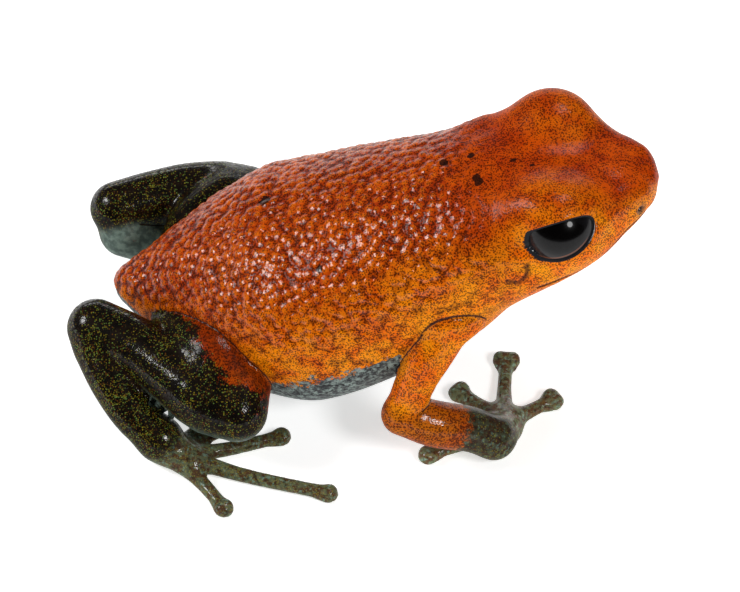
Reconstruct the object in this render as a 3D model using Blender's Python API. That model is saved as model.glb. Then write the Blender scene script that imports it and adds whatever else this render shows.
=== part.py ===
"""Strawberry poison dart frog, orange form with dark legs, as a life-size still model.

The frog sits with its forequarters raised and its hind legs folded against the flanks.
It faces +X, its left side is +Y and it rests on the floor, z = 0. Each part of the
body is one closed solid, and thin gaps part it from its neighbours.
All sizes below are in millimetres. The finished meshes are in metres.
"""

import math

import bmesh
import bpy
import numpy as np
from mathutils import Matrix, Vector

MILLIMETRE = 0.001
OBJECT_NAME = "strawberry_poison_dart_frog"
GAP = 0.3
RIGHT = -1.0
LEFT = 1.0
UP = np.array((0.0, 0.0, 1.0))

# Body sections from vent to snout: x and z of the centre, half width, height above, depth below.
BODY_SECTIONS = np.array((
    (-9.86, 3.05, 0.05, 0.05, 0.05),
    (-9.75, 3.05, 0.40, 0.40, 0.38),
    (-9.35, 3.04, 0.82, 0.80, 0.76),
    (-8.40, 3.02, 1.60, 1.49, 1.49),
    (-7.00, 3.12, 2.71, 2.38, 2.38),
    (-5.00, 3.44, 4.07, 3.23, 3.20),
    (-2.60, 4.20, 4.90, 3.70, 3.98),
    (0.00, 5.48, 4.62, 3.62, 3.86),
    (2.20, 6.80, 4.18, 3.33, 3.63),
    (4.20, 8.13, 3.75, 2.80, 3.00),
    (6.20, 9.08, 3.66, 2.12, 2.32),
    (8.00, 9.67, 3.08, 1.61, 1.91),
    (9.50, 10.04, 2.10, 1.15, 1.28),
    (10.22, 10.14, 1.42, 0.80, 0.84),
    (10.62, 10.19, 0.76, 0.46, 0.48),
    (10.78, 10.20, 0.05, 0.05, 0.05),
))
# Sideways bend of the spine: x, y.
SPINE_BEND = np.array(((-9.86, 0.90), (-5.0, 0.45), (0.0, 0.08), (4.0, -0.03), (7.0, 0.0), (10.78, 0.12)))
BACK_SQUARENESS = 2.2
BELLY_SQUARENESS = 2.4
NECK_X = 4.9
TORSO_RINGS = 22
HEAD_RINGS = 16
BODY_SIDES = 28

# Eyes and lids. The lid dome stands on the head, and the eyeball sits in a socket inside it.
EYE_CENTRE = np.array((7.0, 2.42, 10.05))
EYE_RADIUS = 1.26
EYE_GAP = 0.22
LID_CENTRE = np.array((6.85, 2.05, 10.02))
LID_SIZE = np.array((2.25, 1.66, 1.78))
LID_OPENING = (1.28, 1.02)
LID_TILT = math.radians(12.0)
EYE_LIFT = math.radians(12.0)
UPPER_RIM = 0.15
LOWER_RIM = 0.12

# Mouth, lips and nostrils.
MOUTH_CORNER_X = 5.5
MOUTH_FRONT_X = 10.42
MOUTH_ANGLE = math.radians(108.0)
MOUTH_WIDTH = 0.20
LIP_SPREAD = math.radians(6.0)
LIP_THICKNESS = 0.30
NOSTRIL_X = 10.02
NOSTRIL_ANGLE = math.radians(66.0)
NOSTRIL_RADIUS = 0.19

# Limbs: x, y, z and radius along each segment. The right ones are seen in full.
UPPER_ARM_RIGHT = ((3.20, -3.20, 6.80, 1.10), (2.48, -4.08, 5.50, 0.96), (1.90, -4.62, 4.25, 0.86),
                   (1.18, -5.20, 2.70, 0.82))
FOREARM_RIGHT = ((1.12, -5.28, 2.60, 0.80), (2.42, -5.30, 2.15, 0.90), (3.95, -5.06, 1.42, 0.86),
                 (4.72, -5.06, 1.00, 0.80))
UPPER_ARM_LEFT = ((3.20, 3.20, 6.80, 1.10), (2.35, 4.15, 5.50, 0.96), (1.50, 4.80, 4.25, 0.86),
                  (0.65, 5.35, 2.85, 0.82))
FOREARM_LEFT = ((0.60, 5.40, 2.70, 0.80), (1.60, 5.50, 2.20, 0.90), (2.80, 5.35, 1.45, 0.86),
                (3.45, 5.25, 1.00, 0.78))
THIGH_RIGHT = ((-7.50, -0.90, 3.05, 1.00), (-6.75, -2.20, 3.10, 1.25), (-6.00, -3.05, 3.05, 1.32),
               (-5.05, -4.12, 2.90, 1.25))
SHANK_RIGHT = ((-5.05, -5.05, 2.60, 1.18), (-6.10, -4.60, 2.75, 1.32), (-7.40, -3.55, 2.94, 1.22),
               (-8.95, -2.30, 3.12, 1.12), (-10.48, -1.45, 3.18, 1.12))
TARSUS_RIGHT = ((-10.45, -2.05, 2.75, 0.92), (-9.68, -3.25, 2.20, 1.02), (-8.85, -4.40, 1.60, 0.96),
                (-8.00, -5.12, 1.08, 0.84))
THIGH_LEFT = ((-7.30, 2.30, 3.05, 1.00), (-6.45, 3.70, 3.15, 1.25), (-5.60, 4.50, 3.15, 1.30),
              (-4.80, 5.10, 3.05, 1.20))
SHANK_LEFT = ((-4.90, 5.55, 2.95, 1.12), (-5.80, 5.55, 3.05, 1.25), (-7.00, 5.48, 3.12, 1.20),
              (-8.40, 5.18, 3.16, 1.10), (-9.90, 4.68, 3.12, 1.06))
TARSUS_LEFT = ((-9.60, 4.20, 2.35, 1.04), (-8.70, 4.30, 1.80, 1.00), (-7.40, 4.95, 1.20, 0.82),
               (-6.30, 5.55, 0.90, 0.70))
LIMB_SIDES = 14
LIMB_RINGS = 8
DOME_RINGS = 3

# Hands and feet: palms, and each digit's root, bend and tip on the floor, its disc and radius.
PALM_HALF = (0.78, 0.92, 0.50)
DIGIT_RADIUS = 0.28
DIGIT_ROOT_RADIUS = 0.36
DIGIT_HEIGHT = 0.29
ROOT_HEIGHT = 0.46
PALM_RIGHT = (5.12, -3.95)
PALM_LEFT = (4.15, 4.60)
FINGERS_RIGHT = (
    ((4.75, -4.55), (3.20, -4.95), (2.04, -5.42), 0.38),
    ((4.90, -3.55), (4.12, -2.86), (3.30, -2.12), 0.44),
    ((5.15, -3.40), (5.20, -2.00), (5.32, -0.46), 0.52),
    ((5.55, -3.70), (6.30, -3.14), (7.22, -2.52), 0.46),
)
FINGERS_LEFT = (
    ((3.75, 4.10), (3.10, 3.30), (2.60, 2.70), 0.38),
    ((4.35, 4.05), (4.95, 3.55), (5.45, 3.15), 0.44),
    ((4.60, 4.50), (5.70, 4.40), (6.75, 4.35), 0.52),
    ((4.40, 5.05), (4.95, 5.75), (5.40, 6.30), 0.46),
)
BALL_RIGHT = ((-7.98, -5.10, 0.86, 0.74), (-7.40, -5.48, 0.58, 0.66), (-6.80, -5.82, 0.50, 0.56))
BALL_LEFT = ((-6.20, 5.70, 0.72, 0.62), (-5.55, 5.90, 0.55, 0.62), (-4.90, 6.05, 0.48, 0.52))
TOES_RIGHT = (
    ((-7.70, -5.20), (-7.00, -4.55), (-6.45, -4.05), 0.32),
    ((-7.40, -5.40), (-6.30, -4.55), (-5.35, -3.80), 0.34),
    ((-7.20, -5.50), (-5.40, -5.08), (-3.22, -4.40), 0.36),
    ((-6.90, -5.70), (-4.60, -6.42), (-1.40, -7.24), 0.36),
    ((-7.05, -5.95), (-6.20, -6.95), (-5.42, -8.05), 0.36),
)
TOES_LEFT = (
    ((-5.90, 5.50), (-5.20, 4.95), (-4.70, 4.55), 0.32),
    ((-5.50, 5.60), (-4.30, 5.10), (-3.20, 4.65), 0.34),
    ((-5.10, 5.80), (-3.20, 5.60), (-1.30, 5.50), 0.36),
    ((-4.95, 6.05), (-2.20, 6.50), (0.60, 6.85), 0.36),
    ((-5.20, 6.25), (-4.00, 7.10), (-2.90, 7.80), 0.36),
)
DIGIT_SIDES = 7
DIGIT_RINGS = 4

ORANGE = (0.62, 0.10, 0.012)
DARK_LEG = (0.018, 0.019, 0.014)
GREY_GREEN = (0.085, 0.095, 0.075)
EYE_BLACK = (0.006, 0.006, 0.007)


def clear_scene():
    """Remove every object, so that the script starts from an empty scene."""
    for old in list(bpy.data.objects):
        bpy.data.objects.remove(old, do_unlink=True)


def skin_material(name, color, roughness):
    """Wet skin or eye in one plain colour."""
    material = bpy.data.materials.new(name)
    material.use_nodes = True
    shader = material.node_tree.nodes["Principled BSDF"]
    shader.inputs["Base Color"].default_value = (*color, 1.0)
    shader.inputs["Roughness"].default_value = roughness
    return material


def through(knots, values, at):
    """The smooth curve that passes through the values at the knots, read at the given places."""
    step = np.diff(knots)[:, None]
    slope = np.diff(values, axis=0) / step
    before, after = slope[:-1], slope[1:]
    same_way = before * after > 0.0
    weight_before = 2.0 * step[1:] + step[:-1]
    weight_after = step[1:] + 2.0 * step[:-1]
    safe_before = np.where(same_way, before, 1.0)
    safe_after = np.where(same_way, after, 1.0)
    mean = (weight_before + weight_after) / (weight_before / safe_before + weight_after / safe_after)
    tangent = np.vstack((slope[:1], np.where(same_way, mean, 0.0), slope[-1:]))
    piece = np.clip(np.searchsorted(knots, at, side="right") - 1, 0, len(step) - 1)
    part = ((at - knots[piece]) / step[piece, 0])[:, None]
    rest = 1.0 - part
    return (
        (1.0 + 2.0 * part) * rest ** 2 * values[piece]
        + part * rest ** 2 * step[piece] * tangent[piece]
        + (1.0 + 2.0 * rest) * part ** 2 * values[piece + 1]
        - rest * part ** 2 * step[piece] * tangent[piece + 1]
    )


def loft(name, rings, first_tip, last_tip):
    """A closed mesh over rings of points, with a tip point at each end."""
    form = bmesh.new()
    layers = [[form.verts.new(point) for point in ring] for ring in rings]
    start = form.verts.new(first_tip)
    end = form.verts.new(last_tip)
    count = len(layers[0])
    for near, far in zip(layers, layers[1:]):
        for i in range(count):
            j = (i + 1) % count
            form.faces.new((near[i], near[j], far[j], far[i]))
    for i in range(count):
        j = (i + 1) % count
        form.faces.new((start, layers[0][j], layers[0][i]))
        form.faces.new((end, layers[-1][i], layers[-1][j]))
    bmesh.ops.triangulate(form, faces=form.faces)
    bmesh.ops.recalc_face_normals(form, faces=form.faces)
    return mesh_object(name, form)


def mesh_object(name, form):
    """Turn a bmesh into an object in the scene."""
    mesh = bpy.data.meshes.new(name)
    form.to_mesh(mesh)
    form.free()
    made = bpy.data.objects.new(name, mesh)
    bpy.context.scene.collection.objects.link(made)
    return made


def spine_lengths():
    """Distance along the spine at each body section."""
    steps = np.hypot(np.diff(BODY_SECTIONS[:, 0]), np.diff(BODY_SECTIONS[:, 1]))
    return np.concatenate(((0.0,), np.cumsum(steps)))


def spine_at(place):
    """Section values, spine direction and sideways bend at places along the spine."""
    lengths = spine_lengths()
    section = through(lengths, BODY_SECTIONS, place)
    ahead = through(lengths, BODY_SECTIONS, place + 0.01)
    behind = through(lengths, BODY_SECTIONS, place - 0.01)
    run = ahead[:, :2] - behind[:, :2]
    run /= np.linalg.norm(run, axis=1)[:, None]
    bend = through(SPINE_BEND[:, 0], SPINE_BEND[:, 1:], section[:, 0])[:, 0]
    return section, run, bend


def place_at_x(x):
    """Distance along the spine where its x has the given value."""
    return float(np.interp(x, BODY_SECTIONS[:, 0], spine_lengths()))


def body_points(place, angle, grow=0.0):
    """Points on the body at places along the spine. The angle runs from the back, 0, down to the right."""
    section, run, bend = spine_at(np.atleast_1d(place))
    angle = np.atleast_1d(angle)
    lift, spread = np.cos(angle), np.sin(angle)
    squareness = np.where(lift > 0.0, BACK_SQUARENESS, BELLY_SQUARENESS)
    lift = np.sign(lift) * np.abs(lift) ** (2.0 / squareness)
    spread = np.sign(spread) * np.abs(spread) ** (2.0 / squareness)
    height = np.where(lift > 0.0, section[:, 3] + grow, section[:, 4] + grow) * lift
    across = (section[:, 2] + grow) * spread
    return np.stack((
        section[:, 0] - run[:, 1] * height,
        bend - across,
        section[:, 1] + run[:, 0] * height,
    ), axis=1)


def body_length(name, start, end, rings, grow=0.0):
    """The body between two places along the spine, with rings closer together towards its ends."""
    turn = np.linspace(0.0, math.pi, rings)
    places = start + (end - start) * (1.0 - np.cos(turn)) / 2.0
    angles = np.linspace(0.0, 2.0 * math.pi, BODY_SIDES, endpoint=False)
    layers = [body_points(np.full(BODY_SIDES, place), angles, grow) for place in places]
    return loft(name, layers, layers[0].mean(axis=0), layers[-1].mean(axis=0))


def cross_rows(first, second):
    """Unit vectors square to each pair of rows."""
    out = np.cross(first, second)
    return out / np.linalg.norm(out, axis=1)[:, None]


def limb(name, stations, grow=0.0, sides=LIMB_SIDES, rings=LIMB_RINGS, domes=DOME_RINGS, flatness=1.0):
    """A round-ended fleshy length through stations of x, y, z and radius."""
    stations = np.array(stations, float)
    steps = np.linalg.norm(np.diff(stations[:, :3], axis=0), axis=1)
    lengths = np.concatenate(((0.0,), np.cumsum(steps)))
    along = through(lengths, stations, np.linspace(0.0, lengths[-1], rings))
    along[:, 3] += grow
    run = np.gradient(along[:, :3], axis=0)
    run /= np.linalg.norm(run, axis=1)[:, None]
    turns = np.linspace(0.0, math.pi / 2.0, domes + 1)[1:-1]
    spots = [(along[0], run[0], -math.sin(turn), math.cos(turn)) for turn in turns[::-1]]
    spots += [(along[i], run[i], 0.0, 1.0) for i in range(rings)]
    spots += [(along[-1], run[-1], math.sin(turn), math.cos(turn)) for turn in turns]
    centres = np.array([spot[:3] + way * spot[3] * ahead for spot, way, ahead, _ in spots])
    radii = np.array([spot[3] * shrink for spot, _, _, shrink in spots])
    ways = np.array([way for _, way, _, _ in spots])
    side = cross_rows(np.tile(UP, (len(ways), 1)), ways)
    rise = cross_rows(ways, side)
    angles = np.linspace(0.0, 2.0 * math.pi, sides, endpoint=False)
    layers = [
        centre + radius * (np.outer(np.cos(angles), across) + flatness * np.outer(np.sin(angles), lift))
        for centre, radius, across, lift in zip(centres, radii, side, rise)
    ]
    first_tip = along[0, :3] - run[0] * along[0, 3]
    last_tip = along[-1, :3] + run[-1] * along[-1, 3]
    return loft(name, layers, first_tip, last_tip)


def ball(name, centre, half_sizes, segments=16, rings=10):
    """An ellipsoid."""
    form = bmesh.new()
    bmesh.ops.create_uvsphere(form, u_segments=segments, v_segments=rings, radius=1.0)
    bmesh.ops.scale(form, vec=half_sizes, verts=form.verts)
    bmesh.ops.translate(form, vec=centre, verts=form.verts)
    return mesh_object(name, form)


def tube(name, points, thickness, swell=None, closed=False):
    """A thin tube along points, with its thickness varied by a factor at each point."""
    curve = bpy.data.curves.new(name, "CURVE")
    curve.dimensions = "3D"
    curve.bevel_depth = thickness / 2.0
    curve.bevel_resolution = 1
    curve.use_fill_caps = not closed
    line = curve.splines.new("POLY")
    line.points.add(len(points) - 1)
    line.use_cyclic_u = closed
    for i, point in enumerate(points):
        line.points[i].co = (*point, 1.0)
        line.points[i].radius = 1.0 if swell is None else swell[i]
    drawn = bpy.data.objects.new(name, curve)
    bpy.context.scene.collection.objects.link(drawn)
    form = bmesh.new()
    form.from_mesh(evaluated_mesh(drawn))
    bmesh.ops.remove_doubles(form, verts=form.verts, dist=0.0001)
    bmesh.ops.recalc_face_normals(form, faces=form.faces)
    bpy.data.objects.remove(drawn, do_unlink=True)
    return mesh_object(name, form)


def evaluated_mesh(made):
    """The object's mesh as its modifiers leave it."""
    graph = bpy.context.evaluated_depsgraph_get()
    return bpy.data.meshes.new_from_object(made.evaluated_get(graph))


def boolean(made, others, operation, solver="EXACT"):
    """Join or cut an object with others, which are then removed."""
    group = bpy.data.collections.new("operands")
    bpy.context.scene.collection.children.link(group)
    for other in others:
        bpy.context.scene.collection.objects.unlink(other)
        group.objects.link(other)
    step = made.modifiers.new(operation.lower(), "BOOLEAN")
    step.operation = operation
    step.operand_type = "COLLECTION"
    step.collection = group
    step.solver = solver
    result = evaluated_mesh(made)
    made.modifiers.clear()
    made.data = result
    for other in others:
        bpy.data.objects.remove(other, do_unlink=True)
    bpy.data.collections.remove(group)
    keep_largest(made)
    return made


def keep_largest(made):
    """Keep only the largest closed surface of a mesh."""
    form = bmesh.new()
    form.from_mesh(made.data)
    form.faces.ensure_lookup_table()
    unseen = set(form.faces)
    groups = []
    for face in form.faces:
        if face not in unseen:
            continue
        unseen.remove(face)
        reached = [face]
        for near in reached:
            for edge in near.edges:
                for other in edge.link_faces:
                    if other in unseen:
                        unseen.remove(other)
                        reached.append(other)
        groups.append(reached)
    groups.sort(key=reach_of)
    for scrap in groups[:-1]:
        bmesh.ops.delete(form, geom=scrap, context="FACES")
    form.to_mesh(made.data)
    form.free()


def reach_of(faces):
    """Diagonal of the box around some faces."""
    points = np.array([vert.co for face in faces for vert in face.verts])
    return float(np.linalg.norm(points.max(axis=0) - points.min(axis=0)))


def floor_block():
    """A block below the floor, which trims soles and pads flat."""
    form = bmesh.new()
    bmesh.ops.create_cube(form, size=1.0)
    bmesh.ops.scale(form, vec=(60.0, 60.0, 4.0), verts=form.verts)
    bmesh.ops.translate(form, vec=(0.0, 0.0, -2.0), verts=form.verts)
    return mesh_object("floor_block", form)


def make_torso(grow=0.0):
    """The trunk from vent to neck. Grown, it is the space that its neighbours keep clear of."""
    end = place_at_x(NECK_X) + (grow if grow else -GAP / 2.0)
    return body_length("torso", 0.0, end, TORSO_RINGS, grow)


def gaze_turn(side):
    """The turn from straight up to the way that an eye looks, outwards and a little up."""
    return Matrix.Rotation(side * (EYE_LIFT - math.pi / 2.0), 3, "X") @ Matrix.Rotation(-side * LID_TILT, 3, "Z")


def lid_point(side, angle):
    """A point on the lid dome at the edge of the eye's opening."""
    wide, tall = LID_OPENING
    turn = np.array(gaze_turn(side))
    start = EYE_CENTRE * np.array((1.0, side, 1.0)) - LID_CENTRE * np.array((1.0, side, 1.0))
    start += turn @ np.array((wide * math.cos(angle), tall * math.sin(angle), 0.0))
    gaze = turn @ UP
    start, gaze = start / LID_SIZE, gaze / LID_SIZE
    half = start @ gaze
    square = gaze @ gaze
    reach = (math.sqrt(half ** 2 - square * (start @ start - 1.0)) - half) / square
    return (start + reach * gaze) * LID_SIZE + LID_CENTRE * np.array((1.0, side, 1.0))


def lid_rim(side):
    """The raised edge of the lids, thicker above the eye."""
    angles = np.linspace(0.0, 2.0 * math.pi, 18, endpoint=False)
    points = [lid_point(side, angle) for angle in angles]
    middle = np.mean(points, axis=0)
    swell = [1.0 if point[2] > middle[2] else LOWER_RIM / UPPER_RIM for point in points]
    return tube("lid_rim", points, 2.0 * UPPER_RIM, swell, closed=True)


def eye_window(side):
    """The cutter that opens the lids over the eye."""
    form = bmesh.new()
    wide, tall = LID_OPENING
    bmesh.ops.create_cone(form, cap_ends=True, segments=18, radius1=1.0, radius2=1.0, depth=2.4)
    bmesh.ops.scale(form, vec=(wide - 0.05, tall - 0.05, 1.0), verts=form.verts)
    bmesh.ops.translate(form, vec=(0.0, 0.0, 1.2), verts=form.verts)
    bmesh.ops.rotate(form, cent=(0.0, 0.0, 0.0), verts=form.verts, matrix=gaze_turn(side))
    bmesh.ops.translate(form, vec=EYE_CENTRE * np.array((1.0, side, 1.0)), verts=form.verts)
    return mesh_object("eye_window", form)


def mouth_path(offset):
    """The line of the mouth round the snout, moved up or down the head by an angle."""
    share = np.linspace(0.0, 1.0, 12)
    corner, front = place_at_x(MOUTH_CORNER_X), place_at_x(MOUTH_FRONT_X)
    place = corner + (front - corner) * np.sin(share * math.pi / 2.0)
    angle = MOUTH_ANGLE + offset + (math.pi - MOUTH_ANGLE - offset) * share ** 9
    right = body_points(place, angle)
    left = body_points(place, -angle)
    return np.vstack((right, left[-2::-1]))


def make_head():
    """The head from neck to snout, with lids, sockets, mouth, lips and nostrils."""
    start = place_at_x(NECK_X) + GAP / 2.0
    head = body_length("head", start, spine_lengths()[-1], HEAD_RINGS)
    added = []
    cutters = []
    for side in (RIGHT, LEFT):
        mirrored = np.array((1.0, side, 1.0))
        added.append(ball("lid_dome", LID_CENTRE * mirrored, LID_SIZE, 18, 11))
        added.append(lid_rim(side))
        cutters.append(ball("socket", EYE_CENTRE * mirrored, np.full(3, EYE_RADIUS + EYE_GAP), 16, 10))
        cutters.append(eye_window(side))
        nostril = body_points(place_at_x(NOSTRIL_X), -side * NOSTRIL_ANGLE)[0]
        cutters.append(ball("nostril", nostril, np.array((1.3, 1.0, 0.9)) * NOSTRIL_RADIUS, 8, 6))
    for offset in (-LIP_SPREAD, LIP_SPREAD):
        added.append(tube("lip", mouth_path(offset), LIP_THICKNESS))
    cutters.append(tube("mouth_line", mouth_path(0.0), MOUTH_WIDTH))
    boolean(head, added, "UNION", "MANIFOLD")
    return boolean(head, cutters, "DIFFERENCE", "MANIFOLD")


def make_eye(side):
    """An eyeball."""
    name = "eye_right" if side == RIGHT else "eye_left"
    return ball(name, EYE_CENTRE * np.array((1.0, side, 1.0)), np.full(3, EYE_RADIUS), 18, 11)


def digit_pieces(root, bend, tip, disc):
    """A finger or toe on the floor, with the two rounded scutes of its disc."""
    root, bend, tip = np.array(root), np.array(bend), np.array(tip)
    way = (tip - bend) / np.linalg.norm(tip - bend)
    across = np.array((-way[1], way[0]))
    stations = (
        (*root, ROOT_HEIGHT, DIGIT_ROOT_RADIUS),
        (*bend, DIGIT_HEIGHT + 0.02, DIGIT_RADIUS),
        (*(tip - way * 0.35), DIGIT_HEIGHT, DIGIT_RADIUS),
        (*(tip - way * 0.15), DIGIT_HEIGHT, DIGIT_RADIUS),
    )
    pieces = [limb("digit", stations, sides=DIGIT_SIDES, rings=DIGIT_RINGS, domes=2)]
    for hand in (-1.0, 1.0):
        spot = tip - way * 0.16 + across * hand * (disc - 0.24)
        lobe = ball("scute", (0.0, 0.0, 0.0), (0.34, 0.26, 0.32), 7, 5)
        lobe.data.transform(Matrix.Rotation(math.atan2(way[1], way[0]) - hand * 0.3, 4, "Z"))
        lobe.data.transform(Matrix.Translation((*spot, DIGIT_HEIGHT + 0.02)))
        pieces.append(lobe)
    return pieces


def make_hand(name, palm, fingers, wrist):
    """A hand with its palm and four fingers, on the floor."""
    root = (wrist[0], wrist[1], wrist[2] - 0.10, wrist[3] - 0.12)
    middle = ((wrist[0] + palm[0]) / 2.0 + 0.12, (wrist[1] + palm[1]) / 2.0, 0.72, 0.66)
    whole = limb(name, (root, middle, (*palm, 0.52, 0.60)), sides=9, rings=4, domes=2)
    pieces = [ball("palm", (*palm, 0.42), PALM_HALF, 10, 7)]
    for finger in fingers:
        pieces += digit_pieces(*finger)
    return boolean(whole, pieces, "UNION", "MANIFOLD")


def make_foot(name, sole, toes):
    """A foot with its sole and five toes, on the floor."""
    whole = limb(name, sole, sides=9, rings=4, domes=2, flatness=0.85)
    pieces = []
    for toe in toes:
        pieces += digit_pieces(*toe)
    return boolean(whole, pieces, "UNION", "MANIFOLD")


def arm(side, upper, lower, palm, fingers):
    """One arm in three solids, each cut clear of the one that it grows from."""
    word = "right" if side == RIGHT else "left"
    upper_arm = boolean(limb(f"upper_arm_{word}", upper), [make_torso(GAP)], "DIFFERENCE")
    forearm = boolean(limb(f"forearm_{word}", lower), [limb("clear", upper, GAP)], "DIFFERENCE")
    hand = make_hand(f"hand_{word}", palm, fingers, lower[-1])
    boolean(hand, [limb("clear", lower, GAP)], "DIFFERENCE")
    boolean(hand, [floor_block()], "DIFFERENCE")
    return [upper_arm, forearm, hand]


def leg(side, upper, lower, ankle, sole, toes):
    """One hind leg in four solids, each cut clear of the one that it grows from."""
    word = "right" if side == RIGHT else "left"
    thigh = boolean(limb(f"thigh_{word}", upper), [make_torso(GAP)], "DIFFERENCE")
    shank = limb(f"shank_{word}", lower, rings=LIMB_RINGS + 2)
    boolean(shank, [limb("clear", upper, GAP)], "DIFFERENCE")
    boolean(shank, [make_torso(GAP)], "DIFFERENCE")
    tarsus = limb(f"tarsus_{word}", ankle)
    boolean(tarsus, [limb("clear", lower, GAP)], "DIFFERENCE")
    foot = make_foot(f"foot_{word}", sole, toes)
    boolean(foot, [limb("clear", ankle, GAP)], "DIFFERENCE")
    boolean(foot, [floor_block()], "DIFFERENCE")
    return [thigh, shank, tarsus, foot]


def make_parts():
    """Every solid with the material it is made in."""
    head_skin = skin_material("head_skin", ORANGE, 0.30)
    back_skin = skin_material("back_skin", ORANGE, 0.40)
    arm_skin = skin_material("arm_skin", ORANGE, 0.28)
    hand_skin = skin_material("hand_skin", GREY_GREEN, 0.45)
    leg_skin = skin_material("leg_skin", DARK_LEG, 0.30)
    foot_skin = skin_material("foot_skin", GREY_GREEN, 0.40)
    eye_surface = skin_material("eye_surface", EYE_BLACK, 0.05)
    dressed = [(make_head(), head_skin), (make_torso(), back_skin)]
    dressed += [(make_eye(side), eye_surface) for side in (RIGHT, LEFT)]
    arms = (
        arm(RIGHT, UPPER_ARM_RIGHT, FOREARM_RIGHT, PALM_RIGHT, FINGERS_RIGHT),
        arm(LEFT, UPPER_ARM_LEFT, FOREARM_LEFT, PALM_LEFT, FINGERS_LEFT),
    )
    for upper_arm, forearm, hand in arms:
        dressed += [(upper_arm, arm_skin), (forearm, arm_skin), (hand, hand_skin)]
    legs = (
        leg(RIGHT, THIGH_RIGHT, SHANK_RIGHT, TARSUS_RIGHT, BALL_RIGHT, TOES_RIGHT),
        leg(LEFT, THIGH_LEFT, SHANK_LEFT, TARSUS_LEFT, BALL_LEFT, TOES_LEFT),
    )
    for thigh, shank, tarsus, foot in legs:
        dressed += [(thigh, leg_skin), (shank, leg_skin), (tarsus, leg_skin), (foot, foot_skin)]
    return dressed


def settle(dressed):
    """Move all parts so that the middle of the frog's base is the origin, and scale them to metres."""
    points = np.array([vert.co for made, _ in dressed for vert in made.data.vertices])
    low, high = points.min(axis=0), points.max(axis=0)
    base = Vector(((low[0] + high[0]) / 2.0, (low[1] + high[1]) / 2.0, low[2]))
    place = Matrix.Scale(MILLIMETRE, 4) @ Matrix.Translation(-base)
    home = bpy.data.collections.new(OBJECT_NAME)
    bpy.context.scene.collection.children.link(home)
    for made, material in dressed:
        made.data.transform(place)
        made.data.materials.clear()
        made.data.materials.append(material)
        made.data.shade_smooth()
        made.data.set_sharp_from_angle(angle=math.radians(40.0))
        bpy.context.scene.collection.objects.unlink(made)
        home.objects.link(made)


clear_scene()
settle(make_parts())
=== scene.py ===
"""Looks of the strawberry poison dart frog: one wet skin over the whole body, and two eyes.

Sizes are in millimetres in the model maker's own frame: the frog faces +X, its left side is +Y
and the floor is z = 0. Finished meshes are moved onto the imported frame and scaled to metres.
"""

import math

import bmesh
import bpy
import numpy as np
from mathutils import Matrix, Vector
from mathutils.bvhtree import BVHTree
from mathutils.kdtree import KDTree


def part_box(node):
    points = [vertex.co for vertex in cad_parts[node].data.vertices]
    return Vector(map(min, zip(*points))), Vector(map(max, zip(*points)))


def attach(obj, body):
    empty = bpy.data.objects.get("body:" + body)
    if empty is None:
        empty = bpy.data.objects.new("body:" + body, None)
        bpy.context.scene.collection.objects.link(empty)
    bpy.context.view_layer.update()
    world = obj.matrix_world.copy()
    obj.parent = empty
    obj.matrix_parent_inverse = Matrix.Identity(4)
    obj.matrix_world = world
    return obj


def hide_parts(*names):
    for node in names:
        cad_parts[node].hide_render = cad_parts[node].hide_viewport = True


MILLIMETRE = 0.001
RIGHT = -1.0
LEFT = 1.0
SIDES = (RIGHT, LEFT)
UP = np.array((0.0, 0.0, 1.0))

# Body sections from vent to snout: x and z of the centre, half width, height above, depth below.
BODY_SECTIONS = np.array((
    (-9.86, 3.05, 0.05, 0.05, 0.05),
    (-9.75, 3.05, 0.40, 0.40, 0.38),
    (-9.35, 3.04, 0.82, 0.80, 0.76),
    (-8.40, 3.02, 1.60, 1.49, 1.49),
    (-7.00, 3.12, 2.71, 2.38, 2.38),
    (-5.00, 3.44, 4.07, 3.23, 3.20),
    (-2.60, 4.20, 4.90, 3.70, 3.98),
    (0.00, 5.48, 4.62, 3.62, 3.86),
    (2.20, 6.80, 4.18, 3.33, 3.63),
    (4.20, 8.13, 3.75, 2.80, 3.00),
    (6.20, 9.08, 3.71, 2.37, 2.41),
    (8.00, 9.67, 2.91, 1.66, 1.75),
    (9.50, 10.04, 2.02, 1.12, 1.24),
    (10.22, 10.14, 1.34, 0.77, 0.82),
    (10.62, 10.19, 0.76, 0.46, 0.48),
    (10.78, 10.20, 0.05, 0.05, 0.05),
))
# Sideways bend of the spine: x, y.
SPINE_BEND = np.array((
    (-9.86, 0.90), (-5.0, 0.45), (0.0, 0.08), (4.0, -0.03), (7.0, -0.01), (8.6, -0.04), (10.78, 0.09),
))
BACK_SQUARENESS = 2.2
BELLY_SQUARENESS = 2.4
BODY_RINGS = 220
BODY_SIDES = 180

# Limbs: x, y, z and radius along each segment.
UPPER_ARM = {
    RIGHT: ((2.78, -3.50, 5.80, 1.00), (2.32, -4.10, 5.08, 0.90), (1.78, -4.62, 4.05, 0.78),
            (1.28, -5.16, 2.72, 0.72)),
    LEFT: ((2.78, 3.50, 5.80, 1.00), (2.15, 4.15, 5.10, 0.90), (1.42, 4.80, 4.10, 0.78),
           (0.66, 5.33, 2.86, 0.78)),
}
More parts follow.
